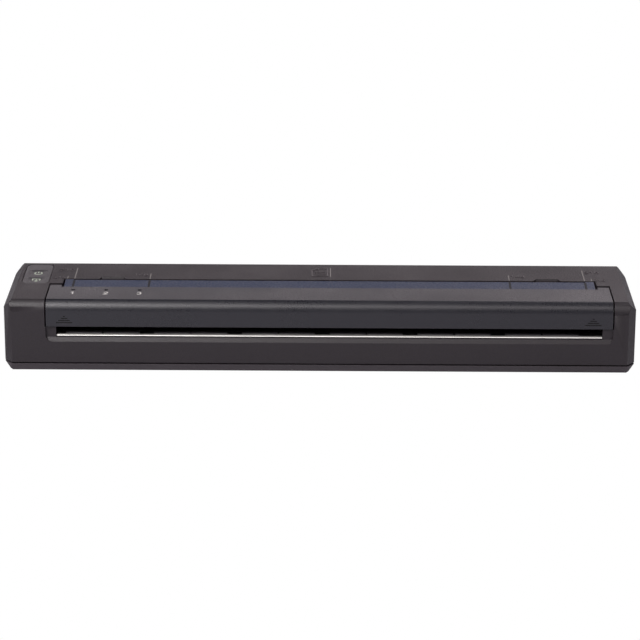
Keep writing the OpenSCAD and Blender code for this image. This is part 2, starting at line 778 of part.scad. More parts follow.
module exit_guide() color(rubber_black) {
    x0 = frame_l_x + frame_t + 0.2;
    x1 = frame_r_x - 0.2;
    y0 = -hy + 3.4;
    y1 = platen_cy - 2.4;
    z1 = exit_z - 0.2;
    pitch = 35.5;
    comb_d = 2.8;
    comb_h = 1.3;
    union() {
        along_x(x0, x1) polygon([[y0, z1 - 1.1], [y0, z1], [y1 - 4.6, z1], [y1, z1 - 1.1],
            [y1, z1 - 2.3], [y1 - 4.2, z1 - 1.3]]);
        // comb that keeps a curled page off the tear bar
        for (i = [0:5], j = [0, 15.1])
            let (x = exit_x0 + 4 + i * pitch + j)
                block([x, y0, z1 - 0.1], [x + 14.3, y0 + comb_d, z1 + comb_h]);
        for (x = [x0 - frame_t - 0.2, x1]) bar_x(x, x + frame_t + 0.2, peg_y, z1 - 0.55, 0.5);
    }
}

module platen_shaft() color(steel) {
    bar_x(gear_x - 0.8, frame_r_x + frame_t + 1.2, platen_cy, platen_z, platen_shaft_r);
}

module platen_sleeve() color(rubber_black) {
    difference() {
        bar_x(path_x - platen_len / 2, path_x + platen_len / 2, platen_cy, platen_z, platen_r);
        bar_x(-hx, hx, platen_cy, platen_z, platen_shaft_r + press);
    }
}

module platen_bushings() color("beige") {
    for (p = [[frame_l_x, 0], [frame_r_x, 1]]) difference() {
        union() {
            bar_x(p[0] - 0.4 * (1 - p[1]), p[0] + frame_t + 0.4 * p[1], platen_cy, platen_z, bushing_r);
            bar_x(p[1] == 0 ? p[0] + frame_t : p[0] - 1.2, p[1] == 0 ? p[0] + frame_t + 1.2 : p[0],
                platen_cy, platen_z, bushing_r + 0.8);
        }
        bar_x(-hx, hx, platen_cy, platen_z, platen_shaft_r + slip);
    }
}

// ---- Frames ----

module frame_holes() {
    bar_x(-hx, hx, platen_cy, platen_z, bushing_r + press);
    bar_x(-hx, hx, pivot_y, pivot_z, head_shaft_r + press);
    bar_x(-hx, hx, peg_y, exit_z - 0.75, 0.5 + slip);
    for (y = tab_screw_ys) bar_x(-hx, hx, y, tab_screw_z, 1);
}

module left_frame() color(steel) {
    motor_edge = motor_d / 2 + 0.5;
    difference() {
        along_x(frame_l_x, frame_l_x + frame_t) polygon([[frame_y0, floor_z],
            [motor_y + motor_edge, floor_z], [motor_y + motor_edge, motor_z + motor_edge],
            [frame_y1, motor_z + motor_edge], [frame_y1, frame_z1 - 4], [frame_y1 - 4, frame_z1],
            [frame_y0 + 3, frame_z1], [frame_y0, frame_z1 - 3]]);
        frame_holes();
        bar_x(-hx, hx, idler_y, idler_z, stud_r + press);
        bar_x(-hx, hx, motor_y, motor_z, 2);
        for (s = [-1, 1]) bar_x(-hx, hx, motor_y, motor_z + s * motor_screw_r, 0.8);
    }
}

module right_frame() color(steel) {
    difference() {
        along_x(frame_r_x, frame_r_x + frame_t) polygon([[frame_y0, floor_z], [frame_y1, floor_z],
            [frame_y1, frame_z1 - 4], [frame_y1 - 4, frame_z1],
            [frame_y0 + 3, frame_z1], [frame_y0, frame_z1 - 3]]);
        frame_holes();
    }
}

module frame_beam() color(steel) {
    x0 = frame_l_x + frame_t;
    x1 = frame_r_x;
    y0 = platen_cy - 0.5;
    y1 = frame_y1 - 0.9;
    difference() {
        union() {
            block([x0, y0, beam_z0], [x1, y1, beam_z1]);
            block([x0, y1 - beam_t, floor_z], [x1, y1, beam_z1]);
            for (x = [x0, x1 - beam_t])
                block([x, tab_screw_ys[0] - 2.5, beam_z0],
                    [x + beam_t, tab_screw_ys[1] + 1.4, tab_screw_z + 2.5]);
            for (x = spring_x) translate([x, spring_y, beam_z1 - 0.2])
                cylinder(h = 1.6, r = spring_r - 2 * spring_wire_r - 0.3, $fn = 24);
        }
        for (y = tab_screw_ys) bar_x(-hx, hx, y, tab_screw_z, 0.9 + press);
    }
}

module frame_screws() color(steel) {
    for (y = tab_screw_ys) {
        screw_x(frame_l_x, 1, y, tab_screw_z, frame_t + beam_t + 0.6, 0.9, 1.6);
        screw_x(frame_r_x + frame_t, -1, y, tab_screw_z, frame_t + beam_t + 0.6, 0.9, 1.6);
    }
    for (s = [-1, 1])
        screw_x(frame_l_x, 1, motor_y, motor_z + s * motor_screw_r, frame_t + 2, 0.7, 1.3);
}

// Screw along X whose head rests on the plane at x and whose shank runs towards side
module screw_x(x, side, y, z, length, r, head_r) {
    union() {
        bar_x(min(x, x - side * 0.8), max(x, x - side * 0.8), y, z, head_r);
        bar_x(min(x - side * 0.2, x + side * length), max(x - side * 0.2, x + side * length), y, z, r);
    }
}

// ---- Print head ----

// Places what follows in the head's frame: Y along the paper, Z square to it, nip at zero
module head_frame() {
    translate([0, nip_y, nip_z]) rotate([head_tilt, 0, 0]) children();
}

module heat_sink() color("silver") {
    x0 = path_x - sink_len / 2;
    x1 = path_x + sink_len / 2;
    difference() {
        union() {
            head_frame() block([x0, sink_front, -ceramic_t - sink_t], [x1, sink_rear, -ceramic_t]);
            for (x = [x0 + ear_inset, path_x - 2, x1 - ear_inset - 4])
                bar_x(x, x + 4, pivot_y, pivot_z, pivot_ear_r);
            for (x = spring_x) translate([x, spring_y, spring_top_z])
                cylinder(h = 2.4, r = spring_r + 0.3, $fn = 32);
        }
        bar_x(-hx, hx, pivot_y, pivot_z, head_shaft_r + slip);
    }
}

module thermal_head() color("mintcream") {
    head_frame() block([path_x - 109, sink_front + 0.9, -ceramic_t], [path_x + 109, sink_rear - 1.2, 0]);
}

module driver_cover() color(rubber_black) {
    head_frame() along_x(path_x - 106, path_x + 106)
        polygon([[4.8, 0], [5.2, 0.7], [7.8, 0.7], [8.4, 0]]);
}

module head_shaft() color(steel) {
    bar_x(frame_l_x - 0.3, frame_r_x + frame_t + 0.3, pivot_y, pivot_z, head_shaft_r);
}

// One head spring: a single wire swept along a helix of even pitch
function spring_centre(a, height) = let (t = a / (360 * spring_turns))
    [(spring_r - spring_wire_r) * cos(a), (spring_r - spring_wire_r) * sin(a),
     spring_wire_r + 0.1 + (height - 2 * spring_wire_r - 0.2) * t];

module head_spring(height) {
    rings = 8 * spring_turns;
    sides = 6;
    points = [for (i = [0:rings]) let (a = i * 45, c = spring_centre(a, height))
        for (j = [0:sides - 1]) let (b = j * 360 / sides)
            [c[0] + spring_wire_r * cos(b) * cos(a), c[1] + spring_wire_r * cos(b) * sin(a),
             c[2] + spring_wire_r * sin(b)]];
    sleeve = [for (i = [0:rings - 1], j = [0:sides - 1]) let (k = (j + 1) % sides)
        for (f = [[i * sides + j, i * sides + k, (i + 1) * sides + k],
            [i * sides + j, (i + 1) * sides + k, (i + 1) * sides + j]]) f];
    ends = [for (j = [1:sides - 2]) for (f = [[0, j + 1, j],
        [rings * sides, rings * sides + j, rings * sides + j + 1]]) f];
    polyhedron(points, concat(sleeve, ends));
}

// Least gap between a spring's turns, measured on points of its centre line
function spring_gap(height) = let (n = 8 * spring_turns,
        c = [for (i = [0:n]) spring_centre(i * 45, height)])
    min([for (i = [0:n - 5], j = [i + 5:n]) norm(c[i] - c[j])]) - 2 * spring_wire_r;
echo(least_gap_in_a_head_spring_mm = spring_gap(spring_top_z - beam_z1));

module head_springs() color(steel) {
    for (x = spring_x) translate([x, spring_y, beam_z1]) head_spring(spring_top_z - beam_z1);
}

// Flat ribbon from the head's underside over the beam to the main board
module head_cable() color("wheat") {
    t = 0.3;
    z0 = beam_z1 + 0.3;
    y0 = board_y1 - 2;
    along_x(path_x - 18, path_x + 18) polygon([[y0, z0 + 0.5], [y0, z0 + 0.5 + t], [board_y1, z0 + 0.5 + t],
        [board_y1 + 1.2, z0 + t], [1, z0 + t], [2, z0 + 1.2], [2, nip_z - 1.6],
        [2 + t, nip_z - 1.5], [2 + t, z0 + 1.1], [1.1 + t, z0], [board_y1 + 1, z0],
        [board_y1 - 0.1, z0 + 0.5]]);
}

// ---- Drive ----

function inv(a) = tan(a) * 180 / PI - a;

// Involute spur gear outline with one tooth centred at angle phase
module gear_outline(teeth, phase) {
    rp = gear_m * teeth / 2;
    rb = rp * cos(20);
    root = rp - 1.1 * gear_m;
    tip = rp + 0.7 * gear_m;
    backlash = 0.06;
    half = (PI * gear_m / 2 - backlash) / 2 / rp * 180 / PI + inv(20);
    steps = 4;
    radii = [for (i = [0:steps]) max(rb, root) + (tip - max(rb, root)) * i / steps];
    flank = [for (r = radii) [r, half - inv(acos(min(1, rb / r)))]];
    low = [root, flank[0][1] + 1];
    shape = concat([low], flank);
    polygon([for (k = [0:teeth - 1]) let (c = phase + k * 360 / teeth)
        each concat([for (p = shape) p[0] * [cos(c - p[1]), sin(c - p[1])]],
            [for (i = [len(shape) - 1:-1:0]) let (p = shape[i]) p[0] * [cos(c + p[1]), sin(c + p[1])]])]);
}

module gear(teeth, phase, y, z, bore, hub_r) {
    difference() {
        union() {
            translate([gear_x, y, z]) rotate([90, 0, 90]) linear_extrude(gear_w) gear_outline(teeth, phase);
            bar_x(gear_x - 0.3, gear_x + gear_w, y, z, hub_r);
        }
        bar_x(gear_x - 1, gear_x + gear_w + 1, y, z, bore);
    }
}

idler_phase = 180 - idler_fall + 180 / idler_teeth;
pinion_phase = 180 - (idler_phase % (360 / idler_teeth)) * idler_teeth / pinion_teeth + 180 / pinion_teeth;

module platen_gear() color(gear_white) {
    gear(platen_teeth, -idler_fall, platen_cy, platen_z, platen_shaft_r + press, platen_shaft_r + 1.4);
}

module idler_gear() color(gear_white) {
    hub_r = 2.6;
    root = idler_pitch_r - 1.1 * gear_m;
    hole_at = (hub_r + root) / 2;       // six holes halfway between hub and rim
    hole_r = 0.57 * (root - hub_r) / 2;
    difference() {
        gear(idler_teeth, idler_phase, idler_y, idler_z, stud_r + slip, hub_r);
        for (a = [0:60:300]) bar_x(gear_x - 1, gear_x + gear_w + 1,
            idler_y + hole_at * cos(a), idler_z + hole_at * sin(a), hole_r);
    }
}

module idler_stud() color(steel) {
    union() {
        bar_x(gear_x - 0.8, frame_l_x + frame_t, idler_y, idler_z, stud_r);
        bar_x(gear_x - 1.4, gear_x - 0.5, idler_y, idler_z, stud_r + 0.8);
    }
}

module motor_pinion() color(gear_white) {
    gear(pinion_teeth, pinion_phase, motor_y, motor_z, motor_shaft_r + press, 1.6);
}

module motor_shaft() color(steel) {
    bar_x(gear_x - 0.6, frame_l_x + frame_t + motor_len * 0.7, motor_y, motor_z, motor_shaft_r);
}

module drive_motor() color("dimgray") {
    x0 = frame_l_x + frame_t;
    difference() {
        union() {
            bar_x(x0, x0 + motor_len, motor_y, motor_z, motor_d / 2);
            bar_x(x0 + motor_len - 0.2, x0 + motor_len + 0.9, motor_y, motor_z, 2.5);
            block([x0 + 3, motor_y - 4.5, motor_z - motor_d / 2 - 1.6],
                [x0 + motor_len - 3, motor_y + 4.5, motor_z - motor_d / 2 + 1]);
        }
        bar_x(x0 - 1, x0 + motor_len * 0.75, motor_y, motor_z, motor_shaft_r + slip);
        for (s = [-1, 1]) bar_x(x0 - 1, x0 + 2.4, motor_y, motor_z + s * motor_screw_r, 0.7 + press);
    }
}

// ---- Boards ----

module main_board() color(board_green) {
    difference() {
        block([board_x0, board_y0, board_z0], [board_x1, board_y1, board_z1]);
        for (x = [board_x0 + 3, board_x1 - 3])
            translate([x, (board_y0 + board_y1) / 2, 0]) cylinder(h = 20, r = 1.1, $fn = 24);
    }
}

module board_chips() color([0.12, 0.12, 0.13]) {
    yc = (board_y0 + board_y1) / 2;
    for (c = [[-70, 9, 9, 1.2], [-52, 5, 4, 1], [-20, 7, 7, 1.4], [62, 8, 6, 1.6], [78, 4, 4, 2.2]])
        block([c[0] - c[1] / 2, yc - c[2] / 2, board_z1], [c[0] + c[1] / 2, yc + c[2] / 2, board_z1 + c[3]]);
    for (x = [-38, 84]) translate([x, yc, board_z1]) cylinder(h = 5, r = 2.6, $fn = 32);
}

module board_sockets() color("ivory") {
    block([path_x - 20, board_y1 - 5.4, board_z1], [path_x + 20, board_y1 - 2.3, board_z1 + 1.8]);
    block([board_x0 + 8, board_y1 - 5, board_z1], [board_x0 + 18, board_y1 - 1, board_z1 + 3]);
    block([board_x1 - 22, board_y1 - 5, board_z1], [board_x1 - 10, board_y1 - 1, board_z1 + 3]);
}

module port_board() color(board_green) {
    block([port_board_x0, port_board_y0, board_z0], [port_board_x1, port_board_y1, board_z1]);
}

module usb_port() color(steel) {
    y1 = hy - wall + 0.9;
    difference() {
        translate([usb_x, y1, board_z1 + usb_h / 2]) rotate([90, 0, 0]) linear_extrude(7.6)
            round_plate(-usb_w / 2, usb_w / 2, -usb_h / 2, usb_h / 2, usb_h / 2 - 0.05);
        translate([usb_x, y1 + 1, board_z1 + usb_h / 2]) rotate([90, 0, 0]) linear_extrude(7)
            difference() {
                round_plate(-usb_w / 2 + 0.3, usb_w / 2 - 0.3, -usb_h / 2 + 0.3, usb_h / 2 - 0.3, 1.2);
                square([usb_w - 2.4, 0.7], center = true);
            }
    }
}

module dc_jack() color(rubber_black) {
    y1 = hy - wall - 0.2;
    translate([jack_x, 0, 0]) union() {
        difference() {
            union() {
                block([-jack_w / 2, y1 - 10, board_z1], [jack_w / 2, y1, board_z1 + jack_h]);
                translate([0, y1 + 1.2, jack_z]) rotate([90, 0, 0])
                    cylinder(h = 2, r = jack_bore_r + 0.7, $fn = 48);
            }
            translate([0, y1 + 2, jack_z]) rotate([90, 0, 0]) cylinder(h = 10.5, r = jack_bore_r, $fn = 48);
        }
        translate([0, y1, jack_z]) rotate([90, 0, 0]) cylinder(h = 9.4, r = 0.85, $fn = 32);
    }
}

module paper_sensor() color(rubber_black) {
    y0 = entry_rear_y + chute_wall_t;
    block([sensor_x - 3.5, y0, ceiling - 4.6], [sensor_x + 3.5, y0 + 2.4, ceiling]);
}

// ---- Buttons ----

module button_board() color(board_green) {
    difference() {
        block([key_board_x0, feed_y - 1.8, key_board_z1 - key_board_t],
            [key_board_x1, key_post_y[1] + 1.8, key_board_z1]);
        for (y = key_post_y) translate([cap_x, y, 0]) cylinder(h = 40, r = 0.5, $fn = 24);
    }
}

module key_switches() color("gainsboro") {
    for (y = [feed_y, power_y]) union() {
        block([cap_x - 1.6, y - 1.6, key_board_z1], [cap_x + 1.6, y + 1.6, key_board_z1 + switch_h - 0.4]);
        translate([cap_x, y, key_board_z1 + 1]) cylinder(h = switch_h - 1, r = 0.9, $fn = 24);
    }
}

module button_panel() color(cover_grey) {
    z0 = body_h - panel_recess;
    translate([0, 0, z0]) difference() {
        linear_extrude(panel_recess - 0.05)
            round_plate(panel_x0 + panel_gap, panel_x1 - panel_gap,
                panel_y0 + panel_gap, panel_y1 - panel_gap, panel_r - panel_gap);
        for (c = [[feed_y, feed_l], [power_y, power_l]])
            translate([0, 0, -1]) linear_extrude(3) cap_outline(c[0], c[1], cap_gap);
    }
}

// Button cap: a keyed top, a flange under the panel and a stem above its switch
module button_cap(y, l) {
    cap_z1 = body_h - 0.1;
    flange_z1 = body_h - panel_recess - 0.15;
    flange_t = 0.7;
    stem_r = 1.3;
    stem_z0 = key_board_z1 + switch_h + button_travel + 0.1;
    union() {
        translate([0, 0, flange_z1 - 0.2]) linear_extrude(cap_z1 - flange_z1 + 0.2)
            cap_outline(y, l, 0);
        translate([0, 0, flange_z1 - flange_t]) linear_extrude(flange_t)
            cap_outline(y, l, cap_play - 0.3);
        translate([cap_x, y, stem_z0])
            cylinder(h = flange_z1 - flange_t + 0.1 - stem_z0, r = stem_r, $fn = 24);
    }
}

module power_button() color(cover_grey) button_cap(power_y, power_l);

module feed_button() color(cover_grey) button_cap(feed_y, feed_l);

// ---- Battery ----

module battery_pack() color([0.16, 0.17, 0.19]) {
    along_x(battery_x0, battery_x1)
        round_plate(battery_y0, battery_y1, battery_z0, battery_z0 + battery_h, 2);
}

module battery_contacts() color(gear_white) {
    yc = (battery_y0 + battery_y1) / 2;
    union() {
        block([battery_x1 + 0.8, yc - 3.4, board_z0], [battery_x1 + 3.2, yc + 3.4, board_z0 + 8.4]);
        for (y = [yc - 2.2, yc, yc + 2.2])
            block([battery_x1 + 0.3, y - 0.4, board_z0 + 2], [battery_x1 + 1, y + 0.4, board_z0 + 7]);
    }
}

module battery_cover() color(case_black) {
    difference() {
        along_x(door_x0, door_x1) union() {
            translate([door_axis_y, door_axis_z]) circle(door_r, $fn = 48);
            translate([hy - 1.6, door_axis_z]) square([1.6, door_h - door_r]);
        }
        for (x = [door_x0, door_x1])
            bar_x(x - 4, x + 4, door_axis_y, door_axis_z, door_pin_r + slip);
    }
}

module door_pins() color(steel) {
    bar_x(door_x0 - 2.6, door_x0 + 3, door_axis_y, door_axis_z, door_pin_r);
    bar_x(door_x1 - 3, door_x1 + 2.6, door_axis_y, door_axis_z, door_pin_r);
}

upper_case();
bottom_cover();
release_cover();
light_pipes();
led_board();
hinge_pins();
paper_guide();
tear_bar();
exit_guide();
left_frame();
right_frame();
frame_beam();
platen_bushings();
platen_shaft();
platen_sleeve();
platen_gear();
idler_gear();
idler_stud();
drive_motor();
motor_shaft();
motor_pinion();
head_shaft();
heat_sink();
thermal_head();
driver_cover();
head_springs();
head_cable();
main_board();
board_chips();
board_sockets();
port_board();
button_board();
key_switches();
button_panel();
power_button();
feed_button();
battery_pack();
battery_contacts();
battery_cover();
door_pins();
dc_jack();
usb_port();
paper_sensor();
case_screws();
frame_screws();
rubber_feet();
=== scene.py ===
"""Looks of a page-wide portable printer, built around its packed construction.

The construction is loaded first and stays as it is. The classes below dress its pieces, put finely
edged shells in place of the plain ones and add what is printed, moulded or cut into them. Sizes in
the classes are millimetres; they become metres where a mesh is made.
"""

from __future__ import annotations

import logging
import math
from collections.abc import Callable, Iterable, Sequence
from dataclasses import dataclass
from enum import Enum

import bmesh
import bpy
from mathutils import Matrix, Vector


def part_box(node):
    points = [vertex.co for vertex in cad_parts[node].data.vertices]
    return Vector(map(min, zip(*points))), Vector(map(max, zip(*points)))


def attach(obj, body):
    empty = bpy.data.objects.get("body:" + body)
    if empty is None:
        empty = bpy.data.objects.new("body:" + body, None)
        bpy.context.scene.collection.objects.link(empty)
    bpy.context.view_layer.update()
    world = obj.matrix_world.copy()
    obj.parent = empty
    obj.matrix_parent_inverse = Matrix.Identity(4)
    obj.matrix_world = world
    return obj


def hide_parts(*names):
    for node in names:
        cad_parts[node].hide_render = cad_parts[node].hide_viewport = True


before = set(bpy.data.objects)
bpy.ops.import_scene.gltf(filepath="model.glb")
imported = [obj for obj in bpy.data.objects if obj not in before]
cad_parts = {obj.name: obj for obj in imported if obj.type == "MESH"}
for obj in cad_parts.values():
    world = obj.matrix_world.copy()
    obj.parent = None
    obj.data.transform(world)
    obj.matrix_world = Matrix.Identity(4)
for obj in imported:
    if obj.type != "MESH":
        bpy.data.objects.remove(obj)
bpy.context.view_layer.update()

MM = 0.001
LOG = logging.getLogger("printer")

Colour = tuple[float, float, float]
Point = tuple[float, float, float]


def linear(red: int, green: int, blue: int) -> Colour:
    """Turns a screen colour into the linear colour that shaders take.

    Args:
        red: Red, 0 to 255.
        green: Green, 0 to 255.
        blue: Blue, 0 to 255.

    Returns:
        The three linear components.
    """
    def one(value: int) -> float:
        """Linear value of one screen component."""
        share = value / 255
        return share / 12.92 if share <= 0.04045 else ((share + 0.055) / 1.055) ** 2.4

    return one(red), one(green), one(blue)


# ---------------------------------------------------------------- finishes


class Shader:
    """Node material that is built one node at a time."""

    def __init__(self, name: str) -> None:
        """Starts a material with a principled shader and object coordinates.

        Args:
            name: Name of the material.
        """
        self.material = bpy.data.materials.new(name)
        self.material.use_nodes = True
        self.nodes = self.material.node_tree.nodes
        self.links = self.material.node_tree.links
        self.surface = self.nodes["Principled BSDF"]
        self.place = self.nodes.new("ShaderNodeTexCoord").outputs["Object"]

    def node(self, kind: str, inputs: dict[str, object] | None = None, **settings: object) -> bpy.types.Node:
        """Adds a node.

        Args:
            kind: Type name of the node.
            inputs: Socket name to a value, or to a socket that is linked in.
            **settings: Properties of the node.

        Returns:
            The new node.
        """
        made = self.nodes.new(kind)
        for key, value in settings.items():
            setattr(made, key, value)
        for key, value in (inputs or {}).items():
            self.feed(made.inputs[key], value)
        return made

    def feed(self, socket: bpy.types.NodeSocket, value: object) -> None:
        """Sets a socket to a value, or links another socket to it."""
        if isinstance(value, bpy.types.NodeSocket):
            self.links.new(value, socket)
        elif isinstance(value, tuple) and len(value) == 3 and socket.type == "RGBA":
            socket.default_value = (*value, 1.0)
        else:
            socket.default_value = value

    def stretched(self, scale: Point) -> bpy.types.NodeSocket:
        """Object coordinates scaled along each axis, so that a pattern runs along the piece."""
        return self.node("ShaderNodeMapping", {"Vector": self.place, "Scale": scale}).outputs["Vector"]

    def noise(self, size_mm: float, detail: float = 2.0,
              where: bpy.types.NodeSocket | None = None) -> bpy.types.NodeSocket:
        """Soft noise whose blotches measure about size_mm.

        Args:
            size_mm: Size of one blotch.
            detail: Number of finer octaves.
            where: Coordinates, the object's own if left out.

        Returns:
            The noise value, about 0 to 1.
        """
        inputs = {"Vector": where or self.place, "Scale": 1 / (size_mm * MM), "Detail": detail}
        return self.node("ShaderNodeTexNoise", inputs).outputs["Fac"]

    def pebbles(self, size_mm: float) -> bpy.types.NodeSocket:
        """Distance pattern of rounded pebbles, the form of an etched mould."""
        inputs = {"Vector": self.place, "Scale": 1 / (size_mm * MM), "Smoothness": 0.8}
        return self.node("ShaderNodeTexVoronoi", inputs, feature="SMOOTH_F1").outputs["Distance"]

    def ramp(self, value: bpy.types.NodeSocket, low: float, high: float,
             to_low: float = 0.0, to_high: float = 1.0) -> bpy.types.NodeSocket:
        """Maps low..high to to_low..to_high and clamps it."""
        inputs = {"Value": value, "From Min": low, "From Max": high, "To Min": to_low, "To Max": to_high}
        return self.node("ShaderNodeMapRange", inputs).outputs["Result"]

    def mix(self, share: object, first: object, second: object) -> bpy.types.NodeSocket:
        """Blends two colours."""
        made = self.node("ShaderNodeMix", data_type="RGBA")
        for index, value in ((0, share), (6, first), (7, second)):
            self.feed(made.inputs[index], value)
        return made.outputs[2]

    def math(self, operation: str, first: object, second: object = 0.0) -> bpy.types.NodeSocket:
        """Combines two numbers."""
        made = self.node("ShaderNodeMath", operation=operation)
        self.feed(made.inputs[0], first)
        self.feed(made.inputs[1], second)
        return made.outputs["Value"]

    def part(self, axis: str) -> bpy.types.NodeSocket:
        """One object coordinate, in metres."""
        return self.node("ShaderNodeSeparateXYZ", {"Vector": self.place}).outputs[axis]

    def rounded_normal(self, radius_mm: float) -> bpy.types.NodeSocket:
        """Normal that turns softly round every edge, as on a moulded or ground piece."""
        return self.node("ShaderNodeBevel", {"Radius": radius_mm * MM}, samples=4).outputs["Normal"]

    def edges(self, rounded_normal: bpy.types.NodeSocket) -> bpy.types.NodeSocket:
        """Value that is 1 along edges and 0 on open faces."""
        plain = self.node("ShaderNodeNewGeometry").outputs["Normal"]
        dot = self.node("ShaderNodeVectorMath", operation="DOT_PRODUCT")
        self.links.new(rounded_normal, dot.inputs[0])
        self.links.new(plain, dot.inputs[1])
        return self.ramp(dot.outputs["Value"], 0.99, 0.86)

    def bump(self, height: bpy.types.NodeSocket, depth_mm: float, strength: float = 1.0,
             base: bpy.types.NodeSocket | None = None) -> None:
        """Sends a height pattern to the surface's normal.

        Args:
            height: Pattern of heights, 0 to 1.
            depth_mm: Depth that the pattern stands for.
            strength: Share of it that is used.
            base: Normal that the pattern is laid on, one with soft edges if left out.
        """
        inputs = {"Height": height, "Distance": depth_mm * MM, "Strength": strength,
                  "Normal": base or self.rounded_normal(0.2)}
        bump = self.node("ShaderNodeBump", inputs)
        self.links.new(bump.outputs["Normal"], self.surface.inputs["Normal"])

    def finish(self, **sockets: object) -> bpy.types.Material:
        """Feeds the surface's sockets by name and returns the material."""
        names = {"colour": "Base Color", "roughness": "Roughness", "metallic": "Metallic",
                 "coat": "Coat Weight", "level": "Specular IOR Level", "sheen": "Sheen Weight"}
        for key, value in sockets.items():
            self.feed(self.surface.inputs[names[key]], value)
        return self.material


@dataclass(frozen=True)
class MouldedPlastic:
    """Injection moulded plastic with an etched texture.

    Attributes:
        name: Name of the material.
        colour: Linear colour of the resin.
        roughness: Mean roughness.
        grain_mm: Size of one pebble of the texture.
        depth_mm: Depth of the texture.
        speckle: How far pebbles differ in lightness.
        level: Specular level.
        edge_mm: Radius that edges are rounded with.
        glint: How far clusters of pebbles differ in gloss.
    """

    name: str
    colour: Colour
    roughness: float = 0.5
    grain_mm: float = 0.35
    depth_mm: float = 0.012
    speckle: float = 0.16
    level: float = 0.5
    edge_mm: float = 0.3
    glint: float = 0.1

    def build(self) -> bpy.types.Material:
        """Builds the material."""
        shader = Shader(self.name)
        grain = shader.pebbles(self.grain_mm)
        fine = shader.noise(self.grain_mm * 0.55, 3.0)
        cloud = shader.noise(28.0, 3.0)
        cluster = shader.noise(self.grain_mm * 1.3, 1.0)
        speck = shader.ramp(fine, 0.3, 0.7)
        dark = tuple(c * (1 - self.speckle) for c in self.colour)
        light = tuple(c * (1 + self.speckle) for c in self.colour)
        grained = shader.mix(speck, dark, light)
        worn = tuple(min(1.0, c * 1.12 + 0.002) for c in self.colour)
        colour = shader.mix(shader.ramp(cloud, 0.4, 0.75, 0.0, 0.35), grained, worn)
        soft = shader.rounded_normal(self.edge_mm)
        # Lighter along every edge: partly edge wear, partly a painted edge highlight where the rounded edges
        # catch the light.
        worn_and_highlit_edges = shader.math("MULTIPLY", shader.edges(soft), shader.ramp(cloud, 0.35, 0.65, 0.25, 0.8))
        worn_and_highlit_colour = tuple(min(1.0, c * 1.5 + 0.006) for c in self.colour)
        colour = shader.mix(worn_and_highlit_edges, colour, worn_and_highlit_colour)
        rough = shader.ramp(cloud, 0.3, 0.7, self.roughness - 0.04, self.roughness + 0.05)
        rough = shader.math("ADD", rough, shader.ramp(cluster, 0.32, 0.68, -self.glint, self.glint))
        rough = shader.math("SUBTRACT", rough, shader.math("MULTIPLY", worn_and_highlit_edges, 0.08))
        height = shader.math("ADD", shader.math("ADD", grain, shader.math("MULTIPLY", fine, 0.6)),
                             shader.math("MULTIPLY", cluster, 0.6))
        shader.bump(height, self.depth_mm, base=soft)
        return shader.finish(colour=colour, roughness=rough, level=self.level)


@dataclass(frozen=True)
class SmoothPlastic:
    """Plain satin or gloss plastic with faint flow marks.

    Attributes:
        name: Name of the material.
        colour: Linear colour.
        roughness: Mean roughness.
        coat: Weight of a clear gloss on top.
    """

    name: str
    colour: Colour
    roughness: float = 0.4
    coat: float = 0.0

    def build(self) -> bpy.types.Material:
        """Builds the material."""
        shader = Shader(self.name)
        flow = shader.noise(9.0, 4.0, shader.stretched((0.25, 1.0, 1.0)))
        fine = shader.noise(0.5, 2.0)
        light = tuple(min(1.0, c * 1.1 + 0.004) for c in self.colour)
        colour = shader.mix(shader.ramp(flow, 0.35, 0.7), self.colour, light)
        rough = shader.ramp(flow, 0.3, 0.7, self.roughness - 0.05, self.roughness + 0.06)
        shader.bump(fine, 0.004)
        return shader.finish(colour=colour, roughness=rough, coat=self.coat)


class Grain(Enum):
    """Direction that a metal's grinding marks run in."""

    ALONG_X = (0.02, 1.0, 1.0)
    ALONG_Z = (1.0, 1.0, 0.05)
    NONE = (1.0, 1.0, 1.0)


@dataclass(frozen=True)
class Metal:
    """Ground, rolled or plated metal.

    Attributes:
        name: Name of the material.
        colour: Linear colour.
        roughness: Mean roughness.
        grain: Direction of the grinding marks.
        stain: How strongly darker blotches show.
    """

    name: str
    colour: Colour
    roughness: float = 0.3
    grain: Grain = Grain.ALONG_X
    stain: float = 0.15

    def build(self) -> bpy.types.Material:
        """Builds the material."""
        shader = Shader(self.name)
        lines = shader.noise(0.25, 3.0, shader.stretched(self.grain.value))
        cloud = shader.noise(6.0, 4.0)
        dull = tuple(c * (1 - self.stain) for c in self.colour)
        colour = shader.mix(shader.ramp(cloud, 0.35, 0.7), self.colour, dull)
        rough = shader.math("ADD", shader.ramp(lines, 0.25, 0.75, -0.08, 0.1), self.roughness)
        shader.bump(lines, 0.006, 0.6)
        return shader.finish(colour=colour, roughness=rough, metallic=1.0)


@dataclass(frozen=True)
class Rubber:
    """Ground or moulded rubber.

    Attributes:
        name: Name of the material.
        colour: Linear colour.
        grind_mm: Size of the grinding marks.
    """

    name: str
    colour: Colour
    grind_mm: float = 0.12

    def build(self) -> bpy.types.Material:
        """Builds the material."""
        shader = Shader(self.name)
        grind = shader.noise(self.grind_mm, 4.0)
        cloud = shader.noise(7.0, 3.0)
        dusty = tuple(c * 1.5 + 0.006 for c in self.colour)
        colour = shader.mix(shader.ramp(cloud, 0.4, 0.7, 0.0, 0.6), self.colour, dusty)
        shader.bump(grind, 0.03)
        return shader.finish(colour=colour, roughness=shader.ramp(grind, 0.3, 0.7, 0.7, 0.88), sheen=0.12)


